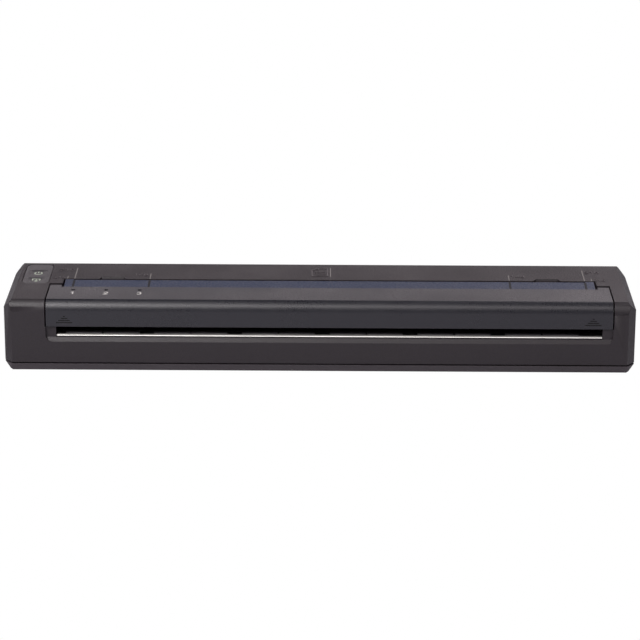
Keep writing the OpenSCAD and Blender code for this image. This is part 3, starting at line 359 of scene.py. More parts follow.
@dataclass(frozen=True)
class CircuitBoard:
    """Printed board: solder mask over copper tracks, with tinned pads.

    Attributes:
        name: Name of the material.
        mask: Linear colour of the solder mask.
        track_mm: Pitch of the tracks.
    """

    name: str
    mask: Colour
    track_mm: float = 1.6

    def build(self) -> bpy.types.Material:
        """Builds the material."""
        shader = Shader(self.name)
        inputs = {"Vector": shader.place, "Scale": 1 / (self.track_mm * MM), "Randomness": 0.55}
        cells = shader.node("ShaderNodeTexVoronoi", inputs, distance="CHEBYCHEV", feature="F1")
        track = shader.ramp(cells.outputs["Distance"], 0.36, 0.4)
        pad = shader.ramp(cells.outputs["Distance"], 0.14, 0.11)
        copper = tuple(c * 1.9 + 0.01 for c in self.mask)
        colour = shader.mix(track, self.mask, copper)
        colour = shader.mix(pad, colour, linear(196, 190, 160))
        shader.bump(track, 0.02)
        return shader.finish(colour=colour, roughness=shader.ramp(pad, 0, 1, 0.42, 0.25),
                             metallic=shader.ramp(pad, 0, 1, 0, 0.9), coat=0.3)


@dataclass(frozen=True)
class Striped:
    """Flat ribbon or wound winding with fine parallel conductors.

    Attributes:
        name: Name of the material.
        ground: Linear colour between the conductors.
        line: Linear colour of a conductor.
        pitch_mm: Pitch of the conductors along X.
    """

    name: str
    ground: Colour
    line: Colour
    pitch_mm: float = 1.0

    def build(self) -> bpy.types.Material:
        """Builds the material."""
        shader = Shader(self.name)
        wave = shader.math("SINE", shader.math("MULTIPLY", shader.part("X"), math.tau / (self.pitch_mm * MM)))
        stripe = shader.ramp(wave, -0.1, 0.2)
        colour = shader.mix(stripe, self.ground, self.line)
        shader.bump(stripe, 0.02)
        return shader.finish(colour=colour, roughness=shader.ramp(shader.noise(3.0), 0.3, 0.7, 0.3, 0.42),
                             coat=0.4)


@dataclass(frozen=True)
class Ink:
    """Printed ink or paint that fills a mark.

    Attributes:
        name: Name of the material.
        colour: Linear colour.
        roughness: Mean roughness.
    """

    name: str
    colour: Colour
    roughness: float = 0.55

    def build(self) -> bpy.types.Material:
        """Builds the material."""
        shader = Shader(self.name)
        spots = shader.noise(0.18, 3.0)
        thin = tuple(c * 0.84 for c in self.colour)
        colour = shader.mix(shader.ramp(spots, 0.35, 0.62), thin, self.colour)
        shader.bump(spots, 0.004)
        return shader.finish(colour=colour,
                             roughness=shader.ramp(spots, 0.3, 0.7, self.roughness, self.roughness + 0.1))


@dataclass(frozen=True)
class SmokedLens:
    """Smoked clear plastic of the status lights.

    Attributes:
        name: Name of the material.
        colour: Linear colour of the dark body.
    """

    name: str
    colour: Colour

    def build(self) -> bpy.types.Material:
        """Builds the material."""
        shader = Shader(self.name)
        haze = shader.noise(0.4, 3.0)
        dark = tuple(c * 0.6 for c in self.colour)
        colour = shader.mix(shader.ramp(haze, 0.3, 0.7), dark, self.colour)
        return shader.finish(colour=colour, roughness=shader.ramp(haze, 0.3, 0.7, 0.28, 0.4), level=0.2)


class Palette:
    """Every finish of the machine, each built once."""

    def __init__(self) -> None:
        """Builds all finishes."""
        dark = linear(14, 14, 15)
        self.case = MouldedPlastic("case_black", linear(31, 26, 30), 0.46, depth_mm=0.02, speckle=0.12,
                                   level=0.46).build()
        # Bottom cover plastic, lighter than the case plastic: painted light that stands for the floor light
        # reflected on its lower strip.
        self.base = MouldedPlastic("base_black_lightened", linear(54, 49, 53), 0.46, level=0.5).build()
        self.cover = MouldedPlastic("cover_grey", linear(28, 28, 34), 0.34, depth_mm=0.018, speckle=0.08,
                                    glint=0.07).build()
        self.strip = MouldedPlastic("strip_blue", linear(33, 45, 70), 0.44, 0.6, 0.06, 0.7).build()
        self.panel = MouldedPlastic("panel_grey", linear(56, 54, 57), 0.4, 0.28, 0.008, 0.1).build()
        self.cap = MouldedPlastic("cap_grey", linear(56, 54, 57), 0.4, 0.25, 0.006, 0.08).build()
        # Lighter copy of the case plastic for raised marks: a painted highlight on their lit tops.
        self.raised = MouldedPlastic("case_raised_highlit", linear(66, 61, 64), 0.38).build()
        # Inner plastic, lighter than the black it stands for: painted light, so that the shaded paper slot
        # reads lighter.
        self.inner = MouldedPlastic("inner_black_lightened", linear(60, 58, 61), 0.5, 0.3, 0.01, 0.1).build()
        self.gear = SmoothPlastic("gear_white", linear(228, 224, 210), 0.42).build()
        self.bushing = SmoothPlastic("bushing_cream", linear(214, 200, 168), 0.38).build()
        self.ivory = SmoothPlastic("socket_ivory", linear(222, 214, 190), 0.45).build()
        self.chip = SmoothPlastic("chip_black", linear(28, 28, 30), 0.55).build()
        self.epoxy = SmoothPlastic("epoxy_black", dark, 0.22, 0.5).build()
        self.jack = SmoothPlastic("jack_black", linear(24, 24, 25), 0.38).build()
        self.lens = SmokedLens("lens_smoked", linear(9, 9, 10)).build()
        self.board = CircuitBoard("board_green", linear(22, 74, 48)).build()
        self.ribbon = Striped("ribbon_amber", linear(176, 112, 40), linear(214, 160, 84), 1.25).build()
        self.ceramic = SmoothPlastic("ceramic_white", linear(226, 226, 220), 0.25, 0.2).build()
        self.sheet = Metal("steel_sheet", linear(176, 178, 180), 0.36, Grain.ALONG_Z).build()
        self.bright = Metal("steel_bright", linear(226, 226, 220), 0.22, Grain.ALONG_X, 0.06).build()
        self.blade = Metal("tear_edge", linear(244, 244, 240), 0.6, Grain.ALONG_X, 0.03).build()
        self.blackened = Metal("steel_blackened", linear(52, 52, 54), 0.42, Grain.NONE).build()
        self.zinc = Metal("motor_can", linear(150, 150, 148), 0.34, Grain.NONE).build()
        self.aluminium = Metal("aluminium", linear(200, 202, 204), 0.38, Grain.ALONG_X).build()
        self.brass = Metal("contact_gold", linear(214, 178, 96), 0.28, Grain.NONE).build()
        self.roller = Rubber("roller_rubber", linear(44, 44, 46)).build()
        self.foot = Rubber("foot_rubber", linear(32, 32, 33), 0.3).build()
        self.wrap = SmoothPlastic("battery_wrap", linear(38, 42, 52), 0.3, 0.35).build()
        self.ink = Ink("ink_white", linear(214, 212, 208)).build()
        self.tick = Ink("ink_grey", linear(128, 124, 122)).build()
        self.tick_dark = Ink("ink_dark", linear(12, 13, 20)).build()
        self.icon = Ink("ink_icon", linear(214, 228, 206)).build()
        # Near-black ink used as painted shade in the cover's grooves.
        self.shade = Ink("shade_black", linear(3, 3, 4), 0.9).build()


# ---------------------------------------------------------------- mesh work


# A screw's faces round its axis, and its crown, recess arm and half arm width as shares of its head's radius.
SCREW_SIDES = 36
SCREW_TAPER = 0.84
SCREW_ARM = 0.575
SCREW_SLIM = 0.14


class Form:
    """Mesh under construction, in millimetres in the shared frame."""

    def __init__(self) -> None:
        """Starts empty."""
        self.shape = bmesh.new()

    @classmethod
    def of_node(cls, node: str, flat_deg: float = 0.6) -> Form:
        """Copies a construction node, with its loose triangles merged and its flat faces joined.

        Args:
            node: Name of the node.
            flat_deg: Faces that meet at less than this angle become one.

        Returns:
            The form, which can be changed freely.
        """
        form = cls()
        form.shape.from_mesh(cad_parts[node].data)
        bmesh.ops.scale(form.shape, vec=(1 / MM,) * 3, verts=form.shape.verts)
        bmesh.ops.remove_doubles(form.shape, verts=form.shape.verts, dist=0.002)
        bmesh.ops.dissolve_degenerate(form.shape, dist=0.0005, edges=form.shape.edges)
        bmesh.ops.dissolve_limit(form.shape, angle_limit=math.radians(flat_deg), verts=form.shape.verts,
                                 edges=form.shape.edges, delimit={"NORMAL"})
        form.shape.normal_update()
        return form

    def soften(self, width: float, segments: int = 2, sharp_deg: float = 30.0,
               where: Callable[[Vector], bool] | None = None) -> Form:
        """Rounds the outward sharp edges that have room for it.

        Args:
            width: Width of the rounding.
            segments: Faces across the rounding.
            sharp_deg: Edges flatter than this stay as they are.
            where: Tells from an edge's middle whether the edge is wanted.

        Returns:
            This form.
        """
        def roomy(edge: bmesh.types.BMEdge) -> bool:
            """True for an outward edge whose neighbours leave room."""
            if len(edge.link_faces) != 2 or edge.calc_length() < 2.2 * width:
                return False
            if edge.calc_face_angle_signed(0.0) < math.radians(sharp_deg):
                return False
            if where and not where((edge.verts[0].co + edge.verts[1].co) / 2):
                return False
            return all(other.calc_length() > 2.1 * width for vert in edge.verts for other in vert.link_edges)

        picked = [edge for edge in self.shape.edges if roomy(edge)]
        if picked:
            bmesh.ops.bevel(self.shape, geom=picked, offset=width, segments=segments, profile=0.5,
                            affect="EDGES", clamp_overlap=True)
        LOG.info("softened %d of %d edges", len(picked), len(self.shape.edges))
        return self

    def box(self, low: Point, high: Point, rounding: float = 0.0) -> Form:
        """Adds a box between two corners, with rounded edges if asked."""
        made = bmesh.ops.create_cube(self.shape, size=1.0)["verts"]
        for vert in made:
            vert.co = Vector([c * (h - l) + (h + l) / 2 for c, l, h in zip(vert.co, low, high)])
        if rounding:
            edges = list({edge for vert in made for edge in vert.link_edges})
            bmesh.ops.bevel(self.shape, geom=edges, offset=rounding, segments=2, profile=0.5, affect="EDGES")
        return self

    def prism(self, outline: Sequence[tuple[float, float]], z0: float, z1: float) -> Form:
        """Adds an upright prism over an outline in the XY plane."""
        low = [self.shape.verts.new((x, y, z0)) for x, y in outline]
        high = [self.shape.verts.new((x, y, z1)) for x, y in outline]
        self.shape.faces.new(low[::-1])
        self.shape.faces.new(high)
        for i in range(len(low)):
            j = (i + 1) % len(low)
            self.shape.faces.new((low[i], low[j], high[j], high[i]))
        return self

    def ribbon(self, points: Sequence[tuple[float, float]], width: float, z0: float, z1: float,
               closed: bool = False) -> Form:
        """Adds a flat band of even width along a line in the XY plane.

        Args:
            points: Line through the middle of the band.
            width: Width of the band.
            z0: Underside.
            z1: Top.
            closed: True if the line ends where it starts.

        Returns:
            This form.
        """
        count = len(points)
        line = [Vector((*p, 0.0)) for p in points]
        rings = []
        for i, here in enumerate(line):
            before = line[i - 1] if closed or i else None
            after = line[(i + 1) % count] if closed or i < count - 1 else None
            pairs = ((before, here), (here, after))
            ways = [(b - a).normalized() for a, b in pairs if a is not None and b is not None]
            across = sum(ways, Vector()).normalized()
            side = Vector((-across.y, across.x, 0.0)) * width / 2 / max(0.35, across.dot(ways[0]))
            rings.append([self.shape.verts.new((p.x, p.y, z)) for p, z in
                          ((here + side, z0), (here - side, z0), (here - side, z1), (here + side, z1))])
        for i in range(count if closed else count - 1):
            this, following = rings[i], rings[(i + 1) % count]
            for k in range(4):
                m = (k + 1) % 4
                self.shape.faces.new((this[k], this[m], following[m], following[k]))
        if not closed:
            self.shape.faces.new(rings[0][::-1])
            self.shape.faces.new(rings[-1])
        return self

    def lathe(self, profile: Sequence[tuple[float, float]], matrix: Matrix | None = None,
              segments: int = 48) -> Form:
        """Adds a turned solid about Z, then places it.

        Args:
            profile: Radius and height along the outline, from the axis back to the axis.
            matrix: Where it goes.
            segments: Faces round the axis.

        Returns:
            This form.
        """
        place = matrix or Matrix()
        rings = []
        for radius, height in profile:
            turns = [math.tau * i / segments for i in range(1 if radius < 1e-6 else segments)]
            spots = [Vector((radius * math.cos(a), radius * math.sin(a), height)) for a in turns]
            rings.append([self.shape.verts.new(place @ spot) for spot in spots])
        for low, high in zip(rings, rings[1:]):
            for i in range(segments):
                j = (i + 1) % segments
                corners = [low[i % len(low)], low[j % len(low)], high[j % len(high)], high[i % len(high)]]
                unique = list(dict.fromkeys(corners))
                if len(unique) > 2:
                    self.shape.faces.new(unique)
        return self

    def pad(self, outline: Sequence[tuple[float, float]], rings: Sequence[tuple[float, float]]) -> Form:
        """Adds a pad over an outline, whose section is given as shares of the outline and heights.

        Args:
            outline: Outline in the XY plane.
            rings: Share of the outline and height, from the underside up; a last share of 0 closes it.

        Returns:
            This form.
        """
        centre = Vector((sum(x for x, _ in outline) / len(outline),
                         sum(y for _, y in outline) / len(outline), 0.0))
        made = []
        for share, height in rings:
            points = outline if share > 1e-6 else outline[:1]
            made.append([self.shape.verts.new((centre.x + (x - centre.x) * share,
                                               centre.y + (y - centre.y) * share,
                                               height)) for x, y in points])
        self.shape.faces.new(made[0][::-1])
        count = len(outline)
        for low, high in zip(made, made[1:]):
            for i in range(count):
                j = (i + 1) % count
                corners = [low[i], low[j], high[j % len(high)], high[i % len(high)]]
                self.shape.faces.new(list(dict.fromkeys(corners)))
        if len(made[-1]) > 1:
            self.shape.faces.new(made[-1])
        return self

    def band(self, low: Sequence[bmesh.types.BMVert], high: Sequence[bmesh.types.BMVert]) -> None:
        """Adds the faces between two closed rings of as many corners."""
        for i, j in zip(range(len(low)), (*range(1, len(low)), 0)):
            self.shape.faces.new((low[i], low[j], high[j], high[i]))

    def screw(self, place: Matrix, head: tuple[float, float], shank: tuple[float, float]) -> Form:
        """Adds a screw with a tapered head and a cross recess.

        Args:
            place: Where it goes. The head stands on the place's +Z side, the shank on the other.
            head: Radius and height of the head.
            shank: Radius and length of the shank.

        Returns:
            This form.
        """
        def ring(points: Sequence[tuple[float, float]], size: float,
                 height: float) -> list[bmesh.types.BMVert]:
            """Corners of one ring."""
            return [self.shape.verts.new(place @ Vector((x * size, y * size, height))) for x, y in points]

        radius, top = head
        angles = [math.tau * i / SCREW_SIDES for i in range(SCREW_SIDES)]
        circle = [(math.cos(a), math.sin(a)) for a in angles]
        arm = [(SCREW_ARM, SCREW_SLIM), (SCREW_SLIM, SCREW_SLIM), (SCREW_SLIM, SCREW_ARM)]
        cross = arm + [(-y, x) for x, y in arm] + [(-x, -y) for x, y in arm] + [(y, -x) for x, y in arm]
        end, neck = ring(circle, shank[0], -shank[1]), ring(circle, shank[0], 0.0)
        base, crown = ring(circle, radius, 0.0), ring(circle, radius * SCREW_TAPER, top)
        floor, rim = ring(cross, radius, top / 2), ring(cross, radius, top)
        self.shape.faces.new(end[::-1])
        self.shape.faces.new(floor)
        for low, high in ((end, neck), (neck, base), (base, crown), (floor, rim)):
            self.band(low, high)
        corners = [(angle, 0, vert) for angle, vert in zip((*angles[1:], math.tau), (*crown[1:], crown[0]))]
        corners += [(math.atan2(y, x) % math.tau, 1, vert) for (x, y), vert in zip(cross, rim)]
        at = [crown[0], rim[-1]]
        for _, side, vert in sorted(corners, key=lambda corner: corner[0]):
            self.shape.faces.new((at[0], vert, at[1]))
            at[side] = vert
        return self

    def add(self, other: Form, matrix: Matrix | None = None) -> Form:
        """Takes over another form, moved by a matrix."""
        held = bpy.data.meshes.new("held")
        if matrix:
            bmesh.ops.transform(other.shape, matrix=matrix, verts=other.shape.verts)
        other.shape.to_mesh(held)
        other.shape.free()
        self.shape.from_mesh(held)
        bpy.data.meshes.remove(held)
        return self

    def mesh(self, name: str, smooth_deg: float = 32.0, outward: bool = True) -> bpy.types.Mesh:
        """Finishes the form as a mesh in metres, smooth but for edges sharper than smooth_deg."""
        if outward:
            bmesh.ops.recalc_face_normals(self.shape, faces=self.shape.faces)
        bmesh.ops.scale(self.shape, vec=(MM,) * 3, verts=self.shape.verts)
        made = bpy.data.meshes.new(name)
        self.shape.to_mesh(made)
        self.shape.free()
        made.shade_smooth()
        made.set_sharp_from_angle(angle=math.radians(smooth_deg))
        return weighted(made)


def weighted(mesh: bpy.types.Mesh) -> bpy.types.Mesh:
    """Lets large faces lead the shading, so that they look flat beside their rounded edges.

    Args:
        mesh: Mesh with smooth faces and marked sharp edges, which is used up.

    Returns:
        The same mesh with its own normals.
    """
    name = mesh.name
    holder = bpy.data.objects.new("holder", mesh)
    bpy.context.scene.collection.objects.link(holder)
    holder.modifiers.new("weights", "WEIGHTED_NORMAL").keep_sharp = True
    made = bpy.data.meshes.new_from_object(holder.evaluated_get(bpy.context.evaluated_depsgraph_get()))
    bpy.data.objects.remove(holder)
    bpy.data.meshes.remove(mesh)
    made.name = name
    return made


def arc(centre: tuple[float, float], radii: tuple[float, float], start: float, end: float,
        steps: int = 16) -> list[tuple[float, float]]:
    """Points along an elliptic arc, angles in degrees."""
    angles = [math.radians(start + (end - start) * i / steps) for i in range(steps + 1)]
    return [(centre[0] + radii[0] * math.cos(a), centre[1] + radii[1] * math.sin(a)) for a in angles]


def rounded(x0: float, x1: float, y0: float, y1: float, radius: float) -> list[tuple[float, float]]:
    """Outline of a rectangle with round corners."""
    points: list[tuple[float, float]] = []
    for (x, y), start in (((x1 - radius, y1 - radius), 0), ((x0 + radius, y1 - radius), 90),
                          ((x0 + radius, y0 + radius), 180), ((x1 - radius, y0 + radius), 270)):
        points += arc((x, y), (radius, radius), start, start + 90, 8)
    return points


# Crossing strokes of one numeral differ in height by this, so that no two tops lie in one plane.
STROKE_STEP_MM = 0.008


class Numerals:
    """Plain numerals drawn as strokes in a cell 0.6 wide and 1 high.

    Attributes:
        STEP: Distance from one numeral to the next, as a share of their height.
        SPARE: Share of the last step that its numeral leaves free.
        STROKES: Lines of each numeral, each with whether it is closed.
    """

    STEP = 0.86
    SPARE = 0.14
    STROKES: dict[str, list[tuple[list[tuple[float, float]], bool]]] = {
        "0": [(arc((0.3, 0.5), (0.27, 0.5), 0, 345, 22), True)],
        "1": [([(0.08, 0.76), (0.36, 1.0), (0.36, 0.0)], False)],
        "2": [(arc((0.3, 0.72), (0.27, 0.28), 170, -38) + [(0.03, 0.0), (0.62, 0.0)], False)],
        "3": [(arc((0.28, 0.76), (0.25, 0.24), 160, -88), False),
              (arc((0.28, 0.27), (0.29, 0.27), 88, -160), False)],
        "4": [([(0.46, 0.0), (0.46, 1.0), (0.0, 0.3), (0.64, 0.3)], False)],
        "6": [(arc((0.62, 0.34), (0.59, 0.68), 112, 178), False),
              (arc((0.3, 0.29), (0.27, 0.29), 0, 345, 20), True)],
        "8": [(arc((0.3, 0.76), (0.22, 0.24), 0, 345, 20), True),
              (arc((0.3, 0.26), (0.28, 0.26), 0, 345, 20), True)],
    }

    @classmethod
    def draw(cls, form: Form, text: str, left: float, base: float, height: float, weight: float,
             z0: float, z1: float) -> None:
        """Adds numerals to a form.

        Args:
            form: Form that takes the strokes.
            text: Digits to draw.
            left: Left edge.
            base: Y of the base line.
            height: Height of a digit.
            weight: Width of a stroke.
            z0: Underside of the strokes.
            z1: Top of the strokes.
        """
        for index, digit in enumerate(text):
            for order, (line, closed) in enumerate(cls.STROKES[digit]):
                points = [(left + (index * cls.STEP + x) * height, base + y * height) for x, y in line]
                form.ribbon(points, weight, z0, z1 + order * STROKE_STEP_MM, closed)


def piece(name: str, mesh: bpy.types.Mesh, body: str, finish: bpy.types.Material,
          replaces: Sequence[str] = ()) -> bpy.types.Object:
    """Puts a mesh into the scene as a piece that rides on a body.

    Args:
        name: Name of the piece.
        mesh: Finished mesh in metres.
        body: Body it moves with.
        finish: Its material.
        replaces: Construction nodes that it stands for.

    Returns:
        The new object.
    """
    mesh.materials.clear()
    mesh.materials.append(finish)
    made = bpy.data.objects.new(name, mesh)
    bpy.context.scene.collection.objects.link(made)
    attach(made, body)
    if replaces:
        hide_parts(*replaces)
    return made


def shell(node: str, name: str, form: Form, body: str, finish: bpy.types.Material) -> None:
    """Puts a softened copy of a construction node in the node's place.

    Args:
        node: Construction node that the copy stands for.
        name: Name of the piece.
        form: Softened copy of the node.
        body: Body it moves with.
        finish: Its material.
    """
    piece(name, form.mesh(name, SMOOTH_DEG, outward=False), body, finish, [node])


# ---------------------------------------------------------------- repeated pieces


class Grower:
    """Geometry node group with named inputs, for what repeats."""

    def __init__(self, name: str) -> None:
        """Starts a group with a geometry socket at each end.

        Args:
            name: Name of the group.
        """
        self.tree = bpy.data.node_groups.new(name, "GeometryNodeTree")
        for side in ("INPUT", "OUTPUT"):
            self.tree.interface.new_socket("Geometry", in_out=side, socket_type="NodeSocketGeometry")
        self.entry = self.tree.nodes.new("NodeGroupInput")
        self.exit = self.tree.nodes.new("NodeGroupOutput")
        self.keys: dict[str, str] = {}

    def input(self, name: str, kind: str, value: object = None) -> bpy.types.NodeSocket:
        """Adds a named input and returns the socket inside the group."""
        socket = self.tree.interface.new_socket(name, in_out="INPUT", socket_type=f"NodeSocket{kind}")
        if value is not None:
            socket.default_value = value
        self.keys[name] = socket.identifier
        return next(out for out in self.entry.outputs if out.identifier == socket.identifier)

    def node(self, kind: str, inputs: dict[object, object] | None = None,
             **settings: object) -> bpy.types.Node:
        """Adds a node and sets or links its inputs, which are named or counted."""
        made = self.tree.nodes.new(kind)
        for key, value in settings.items():
            setattr(made, key, value)
        for key, value in (inputs or {}).items():
            if isinstance(value, bpy.types.NodeSocket):
                self.tree.links.new(value, made.inputs[key])
            else:
                made.inputs[key].default_value = value
        return made

    def close(self, geometry: bpy.types.NodeSocket) -> None:
        """Ends the group: instances become real and take the material input."""
        material = self.input("Material", "Material")
        real = self.node("GeometryNodeRealizeInstances", {0: geometry})
        painted = self.node("GeometryNodeSetMaterial", {"Geometry": real.outputs[0], "Material": material})
        self.tree.links.new(painted.outputs[0], self.exit.inputs[0])

    def grow(self, points: Iterable[Point], material: bpy.types.Material, **values: object) -> bpy.types.Mesh:
        """Runs the group on points and returns the finished mesh.

        Args:
            points: Places in millimetres.
            material: Value of the material input.
            **values: Values of the other inputs, spaces written as underscores.

        Returns:
            A mesh that holds everything the group made.
        """
        seeds = bpy.data.meshes.new("seeds")
        seeds.from_pydata([tuple(c * MM for c in point) for point in points], [], [])
        host = bpy.data.objects.new("host", seeds)
        bpy.context.scene.collection.objects.link(host)
        modifier = host.modifiers.new("grow", "NODES")
        modifier.node_group = self.tree
        modifier[self.keys["Material"]] = material
        for key, value in values.items():
            modifier[self.keys[key.replace("_", " ")]] = value
        host.update_tag()
        bpy.context.view_layer.update()
        graph = bpy.context.evaluated_depsgraph_get()
        made = bpy.data.meshes.new_from_object(host.evaluated_get(graph), depsgraph=graph)
        bpy.data.objects.remove(host)
        bpy.data.meshes.remove(seeds)
        return made


class RibGrower(Grower):
    """Round ribs, a row of them from each point."""

    def __init__(self) -> None:
        """Builds the group."""
        super().__init__("ribs")
        reach = self.input("Reach", "Vector", (0.01, 0.0, 0.0))
        radius = self.input("Radius", "Float", 0.0003)
        count = self.input("Count", "Int", 5)
        step = self.input("Step", "Vector", (0.0, 0.0, 0.001))
        line = self.node("GeometryNodeCurvePrimitiveLine", {"End": reach})
        ring = self.node("GeometryNodeCurvePrimitiveCircle", {"Resolution": 14, "Radius": radius})
        rib = self.node("GeometryNodeCurveToMesh",
                        {"Curve": line.outputs[0], "Profile Curve": ring.outputs[0], "Fill Caps": True})
        row = self.node("GeometryNodeMeshLine", {"Count": count, "Offset": step})
        ribs = self.node("GeometryNodeInstanceOnPoints",
                         {"Points": row.outputs[0], "Instance": rib.outputs[0]})
        spots = self.node("GeometryNodeMeshToPoints", {"Mesh": self.entry.outputs[0]})
        self.close(self.node("GeometryNodeInstanceOnPoints", {
            "Points": spots.outputs[0], "Instance": ribs.outputs[0]}).outputs[0])


class BlockGrower(Grower):
    """Small blocks, a row of them from each point, such as pins, pads and teeth."""

    def __init__(self) -> None:
        """Builds the group."""
        super().__init__("blocks")
        size = self.input("Size", "Vector", (0.0005, 0.0005, 0.0005))
        count = self.input("Count", "Int", 5)
        step = self.input("Step", "Vector", (0.001, 0.0, 0.0))
        block = self.node("GeometryNodeMeshCube", {"Size": size})
        row = self.node("GeometryNodeMeshLine", {"Count": count, "Offset": step})
        blocks = self.node("GeometryNodeInstanceOnPoints",
                           {"Points": row.outputs[0], "Instance": block.outputs[0]})
        spots = self.node("GeometryNodeMeshToPoints", {"Mesh": self.entry.outputs[0]})
        self.close(self.node("GeometryNodeInstanceOnPoints", {
            "Points": spots.outputs[0], "Instance": blocks.outputs[0]}).outputs[0])


class PartGrower(Grower):
    """Loose grid of small board components round each point, some left out by a fixed seed."""

    def __init__(self) -> None:
        """Builds the group."""
        super().__init__("board_parts")
        length = self.input("Length", "Float", 0.1)
        width = self.input("Width", "Float", 0.006)
        columns = self.input("Columns", "Int", 20)
        rows = self.input("Rows", "Int", 2)
        keep = self.input("Keep", "Float", 0.5)
        seed = self.input("Seed", "Int", 5)
        size = self.input("Size", "Vector", (0.0016, 0.0008, 0.0005))
        grid = self.node("GeometryNodeMeshGrid", {"Size X": length, "Size Y": width, "Vertices X": columns,
                                                  "Vertices Y": rows})
        chance = self.node("FunctionNodeRandomValue", {"Seed": seed}, data_type="BOOLEAN")
        probability = next(s for s in chance.inputs if s.name == "Probability")
        self.tree.links.new(keep, probability)
        lucky = next(s for s in chance.outputs if s.type == "BOOLEAN")
        unlucky = self.node("FunctionNodeBooleanMath", {0: lucky}, operation="NOT")
        kept = self.node("GeometryNodeDeleteGeometry",
                         {"Geometry": grid.outputs[0], "Selection": unlucky.outputs[0]})
        part = self.node("GeometryNodeMeshCube", {"Size": size})
        parts = self.node("GeometryNodeInstanceOnPoints",
                          {"Points": kept.outputs[0], "Instance": part.outputs[0]})
        spots = self.node("GeometryNodeMeshToPoints", {"Mesh": self.entry.outputs[0]})
        self.close(self.node("GeometryNodeInstanceOnPoints", {
            "Points": spots.outputs[0], "Instance": parts.outputs[0]}).outputs[0])


# ---------------------------------------------------------------- sub-assemblies


def low(node: str) -> Vector:
    """Lowest corner of a construction node, in millimetres."""
    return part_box(node)[0] / MM


def high(node: str) -> Vector:
    """Highest corner of a construction node, in millimetres."""
    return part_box(node)[1] / MM


PAPER_CENTRE_X = (low("platen_sleeve").x + high("platen_sleeve").x) / 2
INK_MM = 0.03
# Raised marks start this far inside the surface that they stand on, and thin ones on small faces this far.
SINK_MM = 0.05
THIN_SINK_MM = 0.02
# Faces of a shell that meet at less than this angle shade as one.
SMOOTH_DEG = 28.0


@dataclass(frozen=True)
class WidthMark:
    """Mark for one page width on the case behind the paper gap.

    Attributes:
        text: Page width in millimetres, as plain numerals.
        half: Half of the distance between its two lines.
        start: Front end of the line.
        end: Rear end of the line.
        label_y: Base line of the numerals.
        label_mm: Height of the numerals.
    """

    text: str
    half: float
    start: float
    end: float
    label_y: float
    label_mm: float


